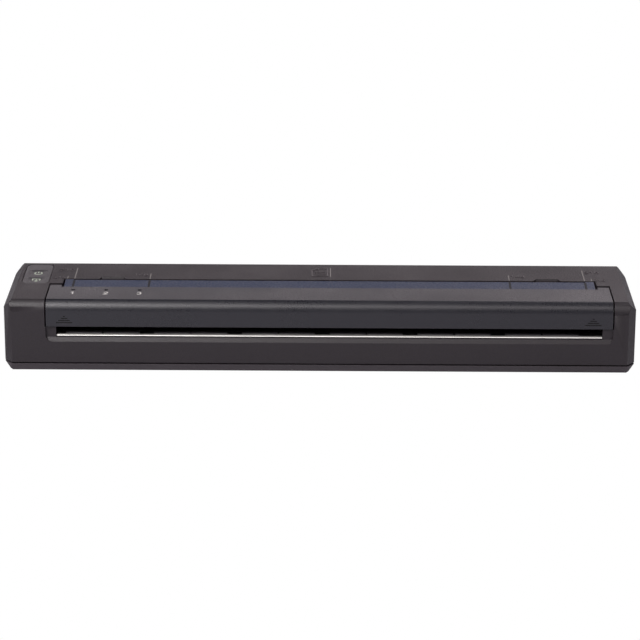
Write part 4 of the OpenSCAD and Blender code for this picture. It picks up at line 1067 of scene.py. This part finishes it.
@dataclass
class CaseAssembly:
    """Case and bottom cover with what is moulded into them, their screws and their feet.

    Attributes:
        palette: Finishes.
        edge: Rounding of the case's edges.
        tick_width: Width of a page mark's line.
        relief: Height of moulded marks.
        stroke: Width of a numeral's stroke.
        label_gap: Distance from a page mark to its numerals.
        label_frame: Lowest and highest X, then lowest and highest Y, of the bare label's frame.
        foot_reach: Half of a foot's length and width.
        foot_corner: Radius of a foot's corners.
        screw_head: Radius and height of a case screw's head.
        screw_seat: Height that the heads rest at.
        front_screws: Places of the front screws from the paper's centre line.
        screw_shank: Radius and length of its shank.
        page_sign: Outline of the page sign, whose last two corners end its folded corner.
        page_rows: Places of the sign's three text rows.
        row_span: Left and right end of a row.
        sign_lines: Line widths of the sign's outline, fold and rows.
        centre_line: X, front end and rear end of the fine line beside the sign.
        marks: Page width marks.
    """

    palette: Palette
    edge: float = 0.3
    tick_width: float = 0.42
    relief: float = 0.18
    stroke: float = 0.3
    label_gap: float = 0.9
    label_frame: tuple[float, float, float, float] = (-70.0, 20.0, -9.0, 9.0)
    foot_reach: tuple[float, float] = (5.9, 2.9)
    foot_corner: float = 1.7
    screw_head: tuple[float, float] = (1.7, 1.1)
    screw_seat: float = 2.4
    front_screws: tuple[float, float, float] = (-98.87, 1.13, 100.13)
    screw_shank: tuple[float, float] = (0.85, 6.4)
    page_sign: tuple[tuple[float, float], ...] = ((-3.4, 8.0), (3.0, 8.0), (3.0, 18.8), (-0.7, 18.8),
                                                  (-3.4, 16.1))
    page_rows: tuple[float, float, float] = (13.4, 11.6, 9.8)
    row_span: tuple[float, float] = (-2.2, 1.8)
    sign_lines: tuple[float, float, float] = (0.5, 0.45, 0.4)
    centre_line: tuple[float, float, float] = (4.2, 7.2, 19.6)
    marks: tuple[WidthMark, ...] = (WidthMark("210", 105.0, 3.1, 18.0, 13.6, 2.5),
                                    WidthMark("216", 107.95, 3.1, 6.5, 3.4, 1.9),
                                    WidthMark("148", 74.0, 3.1, 10.5, 7.4, 2.4))

    def build(self) -> None:
        """Builds every piece of the sub-assembly."""
        self.shells()
        self.page_marks()
        self.pictogram()
        self.underside()
        self.screws()

    def shells(self) -> None:
        """Case and bottom cover with rounded edges."""
        # The bottom cover takes the lightened base finish, whose extra lightness is painted floor light.
        for node, finish in (("upper_case", self.palette.case), ("bottom_cover", self.palette.base)):
            shell(node, f"{node}_shell", Form.of_node(node).soften(self.edge), "chassis", finish)

    def page_marks(self) -> None:
        """Fine lines and raised numerals for each page width."""
        top = high("upper_case").z
        lines, numerals = Form(), Form()
        for mark in self.marks:
            for side in (-1, 1):
                x = PAPER_CENTRE_X + side * mark.half
                lines.ribbon([(x, mark.start), (x, mark.end)], self.tick_width, top - INK_MM, top + INK_MM)
                width = (len(mark.text) - Numerals.SPARE) * Numerals.STEP * mark.label_mm
                left = x + self.label_gap if side > 0 else x - self.label_gap - width
                Numerals.draw(numerals, mark.text, left, mark.label_y, mark.label_mm, self.stroke,
                              top - SINK_MM, top + self.relief)
        piece("page_mark_lines", lines.mesh("page_mark_lines"), "chassis", self.palette.tick)
        # The raised numerals take the lighter case plastic: a painted highlight on their tops.
        piece("page_mark_numerals", numerals.mesh("page_mark_numerals"), "chassis", self.palette.raised)

    def pictogram(self) -> None:
        """Raised outline of a page with a folded corner, and a fine line beside it."""
        top = high("upper_case").z
        sunk, raised = top - SINK_MM, top + self.relief
        bold, medium, fine = self.sign_lines
        page = Form().ribbon(self.page_sign, bold, sunk, raised, closed=True)
        fold_end, fold_start = self.page_sign[-2:]
        page.ribbon([fold_start, (fold_end[0], fold_start[1]), fold_end], medium, sunk, raised)
        for y in self.page_rows:
            page.ribbon([(x, y) for x in self.row_span], fine, sunk, top + self.relief * 0.8)
        # The raised sign takes the lighter case plastic: a painted highlight on its tops.
        piece("page_pictogram", page.mesh("page_pictogram"), "chassis", self.palette.raised)
        x, *ends = self.centre_line
        line = Form().ribbon([(x, y) for y in ends], self.tick_width, top - INK_MM, top + INK_MM)
        piece("centre_line", line.mesh("centre_line"), "chassis", self.palette.tick)

    def underside(self) -> None:
        """Bare label frame under the machine, and rubber feet with rounded lower edges."""
        base = high("rubber_feet").z - 0.5
        rim = Form().ribbon(rounded(*self.label_frame, 2.0), 0.5, base - 0.12, base + SINK_MM, closed=True)
        piece("label_rim", rim.mesh("label_rim"), "chassis", self.palette.case)
        feet = Form()
        lo, hi = low("rubber_feet"), high("rubber_feet")
        along, across = self.foot_reach
        profile = [(1.0, hi.z), (1.0, 0.22), (0.985, 0.07), (0.95, 0.01), (0.9, 0.0), (0.0, 0.0)]
        for x in (lo.x + along, hi.x - along):
            for y in (lo.y + across, hi.y - across):
                outline = rounded(x - along, x + along, y - across, y + across, self.foot_corner)
                feet.pad(outline, profile)
        piece("foot_pads", feet.mesh("foot_pads"), "chassis", self.palette.foot,
              ["rubber_feet"])

    def screws(self) -> None:
        """Screws that hold the bottom cover, heads down in their wells."""
        lo, hi, head, seat = low("case_screws"), high("case_screws"), self.screw_head[0], self.screw_seat
        spots = [(PAPER_CENTRE_X + offset, lo.y + head) for offset in self.front_screws]
        spots += [(x, hi.y - head) for x in (lo.x + head, hi.x - head)]
        form = Form()
        for spot in spots:
            place = Matrix.Translation((*spot, seat)) @ Matrix.Rotation(math.pi, 4, "X")
            form.screw(place, self.screw_head, self.screw_shank)
        piece("case_screw_set", form.mesh("case_screw_set"), "chassis", self.palette.sheet,
              ["case_screws"])


@dataclass
class ReleaseCoverAssembly:
    """Release cover with its status lights and their numerals.

    Attributes:
        palette: Finishes.
        edge: Rounding of the cover's edges.
        label_y: Base line of the numerals under the lights.
        label_mm: Height of the numerals.
        stroke: Width of a numeral's stroke.
        arrow_x: Places of the two lifting marks, from the paper's centre line.
        arrow_half: Half of a lifting mark's lowest line.
        arrow_taper: How much shorter each next line is at each end.
        arrow_z: Height of the lowest line over the cover's lower edge.
        arrow_pitch: Distance from one line to the next.
        arrow_line: Thickness of a line.
        groove: Depth of the construction's grooves.
        proud: How far the painted groove shade stands out of them.
        lens_depth: How far the lenses lie under the construction's light pipes.
        collar: How far a light pipe's flange stands out round its lens.
    """

    palette: Palette
    edge: float = 0.25
    label_y: float = -18.0
    label_mm: float = 2.8
    stroke: float = 0.5
    arrow_x: tuple[float, float] = (-106.8, 106.3)
    arrow_half: float = 3.25
    arrow_taper: float = 0.95
    arrow_z: float = 1.75
    arrow_pitch: float = 0.88
    arrow_line: float = 0.44
    groove: float = 0.32
    proud: float = 0.012
    lens_depth: float = 0.5
    collar: float = 0.7

    def build(self) -> None:
        """Builds every piece of the sub-assembly."""
        form = Form.of_node("release_cover").soften(self.edge)
        shell("release_cover", "release_cover_shell", form, "release_cover", self.palette.cover)
        self.lights()
        self.arrows()

    def arrows(self) -> None:
        """Painted shade in the short grooves that show where to lift the cover: near-black boxes that stand
        for the shade down in them.
        """
        front, base = low("release_cover").y, low("release_cover").z
        groove_shade = Form()
        thick = self.arrow_line / 2
        for offset in self.arrow_x:
            x = PAPER_CENTRE_X + offset
            for row in range(4):
                half = self.arrow_half - row * self.arrow_taper
                z = base + self.arrow_z + row * self.arrow_pitch
                groove_shade.box((x - half, front - self.proud, z - thick),
                           (x + half, front + self.groove, z + thick))
        piece("lifting_groove_shade", groove_shade.mesh("lifting_groove_shade"), "release_cover", self.palette.shade)

    def lights(self) -> None:
        """Smoked lenses of the three status lights, and a numeral before each."""
        lo, hi = low("light_pipes"), high("light_pipes")
        flange = (hi.y - lo.y) / 2
        y = (lo.y + hi.y) / 2
        places = [lo.x + flange, (lo.x + hi.x) / 2, hi.x - flange]
        top = high("release_cover").z
        lenses, numerals = Form(), Form()
        radius, crown = flange - self.collar, hi.z - self.lens_depth
        profile = [(0.0, lo.z), (flange, lo.z), (flange, lo.z + 1.0), (radius, lo.z + 1.0),
                   (radius, crown - 0.15), (radius * 0.9, crown - 0.05), (radius * 0.6, crown),
                   (0.0, crown + 0.03)]
        for index, x in enumerate(places):
            lenses.lathe(profile, Matrix.Translation((x, y, 0.0)), 32)
            left = x - 0.3 * self.label_mm
            Numerals.draw(numerals, str(index + 1), left, self.label_y, self.label_mm, self.stroke,
                          top - INK_MM, top + INK_MM)
        piece("light_lenses", lenses.mesh("light_lenses"), "release_cover", self.palette.lens,
              ["light_pipes"])
        piece("light_numerals", numerals.mesh("light_numerals"), "release_cover", self.palette.ink)


@dataclass
class ButtonAssembly:
    """Button panel and its two keys with their pictograms.

    Attributes:
        palette: Finishes.
        dish: Depth of the hollow in a key's top.
        snug: How far a key fills the gap that the construction leaves round it.
        rim: Edges of the panel within this distance of its outline are rounded.
        soft: Rounding of those edges.
        flange: Width of a key's flange under the panel.
        corner: Radius of the construction's key corners.
        power_line: Width of the lines of the power key's sign.
        feed_line: Width of the lines of the feed key's sign.
    """

    palette: Palette
    dish: float = 0.24
    snug: float = 0.08
    rim: float = 1.3
    soft: float = 0.12
    flange: float = 0.5
    corner: float = 1.6
    power_line: float = 0.36
    feed_line: float = 0.32

    def build(self) -> None:
        """Builds every piece of the sub-assembly."""
        lo, hi = low("button_panel"), high("button_panel")
        middle, reach = (lo + hi) / 2, (hi - lo) / 2
        inner = reach - Vector((self.rim, self.rim, 0.0))
        panel = Form.of_node("button_panel").soften(
            self.soft, where=lambda spot: abs(spot.x - middle.x) > inner.x or abs(spot.y
                                                                                  - middle.y) > inner.y)
        shell("button_panel", "button_panel_plate", panel, "chassis", self.palette.panel)
        for node, draw in (("feed_button", self.feed_sign), ("power_button", self.power_sign)):
            self.key(node, draw)

    def key(self, node: str, draw: Callable[[Form, float, float, float], None]) -> None:
        """Builds one key from its construction node's box, with a pictogram on top.

        Args:
            node: Construction node, which is also the body's name.
            draw: Adds the pictogram to a form, at a centre and a height.
        """
        lo, hi, flange = low(node), high(node), self.flange
        x, y = (lo.x + hi.x) / 2, (lo.y + hi.y) / 2
        inset = flange - self.snug
        outline = rounded(lo.x + inset, hi.x - inset, lo.y + inset, hi.y - inset, self.corner + self.snug)
        skirt = rounded(lo.x, hi.x, lo.y, hi.y, self.corner + flange)
        bowl = hi.z - self.dish
        form = Form()
        form.pad(outline, [(1.0, hi.z - 0.8), (1.0, hi.z - 0.04), (0.985, hi.z), (0.93, hi.z - 0.02),
                           (0.84, hi.z - 0.08), (0.7, bowl + 0.03), (0.56, bowl), (0.0, bowl)])
        form.pad(skirt, [(0.98, hi.z - 1.35), (1.0, hi.z - 1.25), (1.0, hi.z - 0.75), (0.97, hi.z - 0.65),
                         (0.0, hi.z - 0.65)])
        form.lathe([(0.0, lo.z), (1.15, lo.z), (1.3, lo.z + 0.15), (1.3, hi.z - 1.2), (0.0, hi.z - 1.2)],
                   Matrix.Translation((x, y, 0.0)), 32)
        piece(f"{node}_key", form.mesh(f"{node}_key"), node, self.palette.cap, [node])
        sign = Form()
        draw(sign, x, y, bowl)
        piece(f"{node}_sign", sign.mesh(f"{node}_sign"), node, self.palette.icon)

    def power_sign(self, form: Form, x: float, y: float, z: float) -> None:
        """Ring with a gap and a bar in the gap."""
        form.ribbon(arc((x, y - 0.15), (1.5, 1.65), 122, 418, 30), self.power_line, z - THIN_SINK_MM,
                    z + INK_MM)
        form.ribbon([(x, y + 0.1), (x, y + 2.0)], self.power_line, z - THIN_SINK_MM, z + INK_MM)

    def feed_sign(self, form: Form, x: float, y: float, z: float) -> None:
        """Open page outline with an arrow that leaves it."""
        form.ribbon([(x - 1.5, y - 0.4), (x - 1.5, y + 1.6), (x + 1.5, y + 1.6), (x + 1.5, y - 0.4)],
                    self.feed_line, z - THIN_SINK_MM, z + INK_MM)
        form.ribbon([(x, y + 0.9), (x, y - 1.5)], self.feed_line, z - THIN_SINK_MM, z + INK_MM)
        form.ribbon([(x - 0.8, y - 0.8), (x, y - 1.65), (x + 0.8, y - 0.8)], 0.3, z - THIN_SINK_MM,
                    z + INK_MM)


@dataclass
class PaperPathAssembly:
    """Guide strip with the dark marks across it.

    Attributes:
        palette: Finishes.
        tick_halves: Half distances of the dark marks across the strip.
        rise: How far the strip's top rises from front to rear.
        bevel: Width of the bevel along its front edge.
        tick_width: Width of a dark mark.
    """

    palette: Palette
    tick_halves: tuple[float, float] = (105.0, 74.0)
    rise: float = 0.35
    bevel: float = 0.6
    tick_width: float = 0.95

    def build(self) -> None:
        """Builds every piece of the sub-assembly."""
        strip = Form.of_node("paper_guide").soften(0.3)
        shell("paper_guide", "paper_guide_strip", strip, "chassis", self.palette.strip)
        lo, hi = low("paper_guide"), high("paper_guide")
        depth = hi.y - lo.y - self.bevel - 1.0
        slope = Matrix.Translation((0.0, lo.y + self.bevel, hi.z - self.rise))
        slope = slope @ Matrix.Rotation(math.atan2(self.rise, depth), 4, "X")
        ticks = Form()
        for half in self.tick_halves:
            for side in (-1, 1):
                x = PAPER_CENTRE_X + side * half
                ticks.add(Form().ribbon([(x, 0.1), (x, depth - 0.2)], self.tick_width, -INK_MM, INK_MM),
                          slope)
        piece("strip_marks", ticks.mesh("strip_marks"), "chassis", self.palette.tick_dark)


@dataclass
class PrintHeadAssembly:
    """Glazed heating line on the print head.

    Attributes:
        palette: Finishes.
        line_width: Width of the heating line.
        line_half: Half of its length.
        tilt_deg: Angle of the head to the level.
        tracks: Number of the metal pads behind it.
        track_pitch: Distance from one pad to the next.
        track_span: Front and rear end of a pad, from the line.
        track_width: Width of a pad.
    """

    palette: Palette
    line_width: float = 0.5
    line_half: float = 106.0
    tilt_deg: float = 30.0
    tracks: int = 53
    track_pitch: float = 4.0
    track_span: tuple[float, float] = (1.2, 4.2)
    track_width: float = 1.6

    def build(self) -> None:
        """Builds every piece of the sub-assembly."""
        axis = (low("platen_sleeve") + high("platen_sleeve")) / 2
        reach = (high("platen_sleeve").z - low("platen_sleeve").z) / 2 + 0.03
        tilt = math.radians(self.tilt_deg)
        nip = Vector((PAPER_CENTRE_X, axis.y + reach * math.sin(tilt), axis.z - reach * math.cos(tilt)))
        line = Form().ribbon([(-self.line_half, 0.0), (self.line_half, 0.0)], self.line_width,
                             -THIN_SINK_MM, 0.012)
        pads = Form()
        for index in range(self.tracks):
            x = (index - (self.tracks - 1) / 2) * self.track_pitch
            pads.ribbon([(x, y) for y in self.track_span], self.track_width, -THIN_SINK_MM, 0.01)
        place = Matrix.Translation(nip) @ Matrix.Rotation(tilt, 4, "X")
        piece("heating_line", Form().add(line, place).mesh("heating_line"), "print_head", self.palette.epoxy)
        piece("head_tracks", Form().add(pads, place).mesh("head_tracks"), "print_head", self.palette.brass)


@dataclass
class FrameAssembly:
    """Screws of the side frames and of the motor.

    Attributes:
        palette: Finishes.
        tabs: Places of the two tab screws behind the beam's front edge.
        tab_z: Height of these screws.
        motor_ear: Distance of a motor screw from the motor's axis.
        tab_head: Radius and height of a tab screw's head.
        tab_shank: Radius and length of its shank.
        motor_head: Radius and height of a motor screw's head.
        motor_shank: Radius and length of its shank.
    """

    palette: Palette
    tabs: tuple[float, float] = (8.0, 12.5)
    tab_z: float = 10.0
    motor_ear: float = 5.2
    tab_head: tuple[float, float] = (1.6, 0.8)
    tab_shank: tuple[float, float] = (0.9, 3.3)
    motor_head: tuple[float, float] = (1.3, 0.8)
    motor_shank: tuple[float, float] = (0.7, 3.5)

    def build(self) -> None:
        """Builds every piece of the sub-assembly."""
        left, right = low("left_frame").x, high("right_frame").x
        front = low("frame_beam").y
        shaft = (low("motor_shaft") + high("motor_shaft")) / 2
        tabs = [(front + offset, self.tab_z) for offset in self.tabs]
        ears = [(shaft.y, shaft.z + side * self.motor_ear) for side in (-1, 1)]
        sets = (("left_frame_screws", left, tabs, -math.pi / 2, self.tab_head, self.tab_shank),
                ("right_frame_screws", right, tabs, math.pi / 2, self.tab_head, self.tab_shank),
                ("motor_screws", left, ears, -math.pi / 2, self.motor_head, self.motor_shank))
        for name, x, spots, turn, head, shank in sets:
            form = Form()
            for spot in spots:
                form.screw(Matrix.Translation((x, *spot)) @ Matrix.Rotation(turn, 4, "Y"), head, shank)
            piece(name, form.mesh(name), "chassis", self.palette.bright, ["frame_screws"])


@dataclass
class ElectronicsAssembly:
    """Small components on the boards, and the pins of the head's socket.

    Attributes:
        palette: Finishes.
        seat: Height of a small component's middle over its board.
        pins: Number of the socket's pins.
        pin_step: Distance from one pin to the next.
        pin_mm: Size of a pin.
    """

    palette: Palette
    seat: float = 0.25
    pins: int = 39
    pin_step: float = 1.0
    pin_mm: Point = (0.4, 0.9, 0.2)

    def build(self) -> None:
        """Builds every piece of the sub-assembly."""
        board_lo, board_hi = low("main_board"), high("main_board")
        middle, top = (board_lo + board_hi) / 2, board_hi.z + self.seat
        parts = PartGrower()
        front = parts.grow([(middle.x, board_lo.y + 0.8, top)], self.palette.chip, Length=0.19, Width=0.0,
                           Columns=86, Rows=1, Keep=0.55, Seed=11)
        piece("board_resistors", front, "chassis", self.palette.chip)
        inner = parts.grow([(20.0, middle.y - 1.6, top)], self.palette.ivory, Length=0.062, Width=0.004,
                           Columns=24, Rows=3, Keep=0.5, Seed=4)
        piece("board_capacitors", inner, "chassis", self.palette.ivory)
        port_lo, port_hi = low("port_board"), high("port_board")
        port = parts.grow([((port_lo.x + port_hi.x) / 2, port_lo.y + 1.4, top)], self.palette.chip,
                          Length=0.016, Width=0.0012, Columns=7, Rows=2, Keep=0.7, Seed=3)
        piece("port_board_parts", port, "chassis", self.palette.chip)
        first = (PAPER_CENTRE_X - (self.pins - 1) / 2 * self.pin_step, board_hi.y - 1.9, board_hi.z + 0.1)
        row = BlockGrower().grow([first], self.palette.brass, Count=self.pins,
                                 Step=(self.pin_step * MM, 0.0, 0.0), Size=tuple(c * MM for c in self.pin_mm))
        piece("socket_pins", row, "chassis", self.palette.brass)


@dataclass
class BatteryAssembly:
    """Battery door with its grip ribs.

    Attributes:
        palette: Finishes.
        ribs: Number of grip ribs.
        rib_mm: Length of a rib.
    """

    palette: Palette
    ribs: int = 5
    rib_mm: float = 16.0

    def build(self) -> None:
        """Builds every piece of the sub-assembly."""
        door = Form.of_node("battery_cover").soften(0.25)
        shell("battery_cover", "battery_door", door, "battery_cover", self.palette.case)
        lo, hi = low("battery_cover"), high("battery_cover")
        start = ((lo.x + hi.x) / 2 - self.rib_mm / 2, hi.y - 0.08, hi.z - 2.2)
        ribs = RibGrower().grow([start], self.palette.case, Reach=(self.rib_mm * MM, 0.0, 0.0),
                                Radius=0.0003, Count=self.ribs,
                                Step=(0.0, 0.0, -0.0011))
        piece("door_grip", ribs, "battery_cover", self.palette.case)


class Role(Enum):
    """Finish of each construction node that is shown as it is."""

    FRAMES = ("sheet", ("left_frame", "right_frame", "frame_beam"))
    BLADE = ("blade", ("tear_bar",))
    BLACKENED = ("blackened", ("hinge_pins",))
    BRIGHT = ("bright", ("platen_shaft", "idler_stud", "motor_shaft", "head_shaft", "head_springs",
                         "door_pins", "usb_port"))
    ALUMINIUM = ("aluminium", ("heat_sink",))
    MOTOR = ("zinc", ("drive_motor",))
    # The exit guide and paper sensor take the lightened inner plastic, painted light for the shaded slot.
    INNER = ("inner", ("exit_guide", "paper_sensor"))
    GEARS = ("gear", ("platen_gear", "idler_gear", "motor_pinion"))
    BUSHINGS = ("bushing", ("platen_bushings",))
    ROLLER = ("roller", ("platen_sleeve",))
    CERAMIC = ("ceramic", ("thermal_head",))
    EPOXY = ("epoxy", ("driver_cover",))
    RIBBON = ("ribbon", ("head_cable",))
    BOARDS = ("board", ("main_board", "port_board", "button_board", "led_board"))
    CHIPS = ("chip", ("board_chips", "key_switches"))
    SOCKETS = ("ivory", ("board_sockets", "battery_contacts"))
    JACK = ("jack", ("dc_jack",))
    WRAP = ("wrap", ("battery_pack",))


def dress_nodes(palette: Palette) -> None:
    """Gives every construction node its finish, those that a piece stands for too.

    Args:
        palette: Finishes.
    """
    finishes = {node: getattr(palette, role.value[0]) for role in Role for node in role.value[1]}
    for name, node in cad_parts.items():
        node.data.materials.clear()
        node.data.materials.append(finishes.get(name, palette.case))


# ---------------------------------------------------------------- stage


LAMP_REACH = 1.4
LAMP_AIM_Z = 0.02


@dataclass(frozen=True)
class Lamp:
    """Rectangular soft light that hangs over the machine at an even distance.

    Attributes:
        name: Name of the light.
        span: Lowest and highest X in metres.
        arc: First and last elevation in degrees, from the rear horizon over the top to the front.
        radiance: Brightness of its face.
        colour: Linear colour.
    """

    name: str
    span: tuple[float, float]
    arc: tuple[float, float]
    radiance: float
    colour: Colour = (1.0, 1.0, 1.0)

    def build(self) -> None:
        """Adds the light."""
        middle_x = sum(self.span) / 2
        middle = math.radians(sum(self.arc) / 2)
        width = self.span[1] - self.span[0]
        height = 2 * LAMP_REACH * math.tan(math.radians((self.arc[1] - self.arc[0]) / 2))
        data = bpy.data.lights.new(self.name, "AREA")
        data.shape, data.size, data.size_y = "RECTANGLE", width, height
        data.energy, data.color = math.pi * width * height * self.radiance, self.colour
        lamp = bpy.data.objects.new(self.name, data)
        lamp.location = (middle_x, LAMP_REACH * math.cos(middle), LAMP_AIM_Z + LAMP_REACH * math.sin(middle))
        ahead = Vector((middle_x, 0.0, LAMP_AIM_Z)) - lamp.location
        lamp.rotation_euler = ahead.to_track_quat("-Z", "Y").to_euler()
        bpy.context.scene.collection.objects.link(lamp)


@dataclass
class Stage:
    """Pale floor, plain backdrop, soft lights and the camera.

    Attributes:
        ambient: Strength of the even light from all round.
        floor_colour: Linear colour of the floor as the machine sees it.
        floor_half: Half of the floor's width in metres.
        floor_z: Its height, just under the feet, in metres.
        picture_px: Width and height of the picture.
        sensor_mm: Width of the camera's sensor.
        focal_px: Focal length in pixels.
        camera_place: The camera's place in metres.
        yaw_deg: Its turn to the right.
        pitch_deg: Its tilt down.
        roll_deg: Its turn round its own line of sight.
        lamps: The soft lights.
    """

    ambient: float = 0.04
    floor_colour: Colour = (0.72, 0.71, 0.75)
    floor_half: float = 6.0
    floor_z: float = -0.00005
    picture_px: int = 640
    sensor_mm: float = 36.0
    focal_px: float = 2760.6
    camera_place: Point = (0.00461, -1.083107, 0.36705)
    yaw_deg: float = -0.244
    pitch_deg: float = 18.073
    roll_deg: float = 0.237
    lamps: tuple[Lamp, ...] = (
        Lamp("back", (-1.1, 1.1), (8.0, 22.0), 1.04, (1.0, 0.9, 0.945)),
        Lamp("back_left", (-1.1, -0.25), (22.0, 40.0), 0.22, (1.0, 0.9, 0.945)),
        Lamp("back_right", (0.25, 1.1), (22.0, 40.0), 1.35, (1.0, 0.9, 0.945)),
        Lamp("rear_right", (0.25, 1.1), (62.0, 85.0), 5.2, (1.0, 0.95, 1.0)),
        Lamp("key_high", (-1.1, -0.25), (115.0, 130.0), 6.9, (1.0, 0.97, 0.975)),
        Lamp("key", (-1.1, -0.25), (130.0, 145.0), 15.4, (1.0, 0.97, 0.975)),
        Lamp("key_low", (-1.1, -0.25), (145.0, 158.0), 3.2, (1.0, 0.97, 0.975)),
        Lamp("front", (-0.25, 1.1), (128.0, 146.0), 2.4, (1.0, 0.92, 0.95)))

    def build(self) -> None:
        """Builds the floor, the surroundings, the lights and the camera."""
        self.floor()
        self.world()
        for lamp in self.lamps:
            lamp.build()
        self.camera()
        scene = bpy.context.scene
        scene.view_settings.view_transform = "Standard"
        scene.view_settings.look = "None"

    def floor(self) -> None:
        """White floor that the camera sees as plain white."""
        material = bpy.data.materials.new("floor_white")
        material.use_nodes = True
        nodes, links = material.node_tree.nodes, material.node_tree.links
        nodes.remove(nodes["Principled BSDF"])
        plain = nodes.new("ShaderNodeBsdfDiffuse")
        plain.inputs["Color"].default_value = (*self.floor_colour, 1.0)
        glow = nodes.new("ShaderNodeEmission")
        mixed = nodes.new("ShaderNodeMixShader")
        path = nodes.new("ShaderNodeLightPath")
        links.new(path.outputs["Is Camera Ray"], mixed.inputs[0])
        links.new(plain.outputs[0], mixed.inputs[1])
        links.new(glow.outputs[0], mixed.inputs[2])
        links.new(mixed.outputs[0], nodes["Material Output"].inputs["Surface"])
        mesh = bpy.data.meshes.new("floor")
        half = self.floor_half
        mesh.from_pydata([(-half, -half, 0), (half, -half, 0), (half, half, 0), (-half, half, 0)], [],
                         [(0, 1, 2, 3)])
        mesh.materials.append(material)
        floor = bpy.data.objects.new("floor", mesh)
        floor.location.z = self.floor_z
        bpy.context.scene.collection.objects.link(floor)

    def world(self) -> None:
        """Even light from all round, plain white to the camera."""
        world = bpy.data.worlds.new("surroundings")
        world.use_nodes = True
        nodes, links = world.node_tree.nodes, world.node_tree.links
        back = nodes["Background"]
        path = nodes.new("ShaderNodeLightPath")
        strength = nodes.new("ShaderNodeMapRange")
        strength.inputs["To Min"].default_value = self.ambient
        strength.inputs["To Max"].default_value = 1.0
        links.new(path.outputs["Is Camera Ray"], strength.inputs["Value"])
        links.new(strength.outputs["Result"], back.inputs["Strength"])
        back.inputs["Color"].default_value = (1.0, 1.0, 1.0, 1.0)
        bpy.context.scene.world = world

    def camera(self) -> None:
        """Camera at the photograph's place, angle and focal length."""
        yaw, pitch, roll = (math.radians(a) for a in (self.yaw_deg, self.pitch_deg, self.roll_deg))
        ahead = Vector((math.sin(yaw) * math.cos(pitch), math.cos(yaw) * math.cos(pitch), -math.sin(pitch)))
        right = Vector((math.cos(yaw), -math.sin(yaw), 0.0))
        up = right.cross(ahead)
        turned_right = right * math.cos(roll) + up * math.sin(roll)
        turned_up = up * math.cos(roll) - right * math.sin(roll)
        data = bpy.data.cameras.new("camera")
        data.sensor_width = self.sensor_mm
        data.lens = self.focal_px / self.picture_px * self.sensor_mm
        data.clip_start, data.clip_end = 0.05, 20.0
        camera = bpy.data.objects.new("camera", data)
        axes = Matrix((turned_right, turned_up, -ahead)).transposed().to_4x4()
        camera.matrix_world = Matrix.Translation(self.camera_place) @ axes
        bpy.context.scene.collection.objects.link(camera)
        scene = bpy.context.scene
        scene.camera = camera
        scene.render.resolution_x = scene.render.resolution_y = self.picture_px


def main() -> None:
    """Builds the machine and its stage."""
    logging.basicConfig(level=logging.INFO, format="%(name)s: %(message)s")
    palette = Palette()
    dress_nodes(palette)
    for assembly in (CaseAssembly, ReleaseCoverAssembly, ButtonAssembly, PaperPathAssembly, PrintHeadAssembly,
                     FrameAssembly, ElectronicsAssembly, BatteryAssembly):
        assembly(palette).build()
        LOG.info("built %s", assembly.__name__)
    Stage().build()


if __name__ == "__main__":
    main()
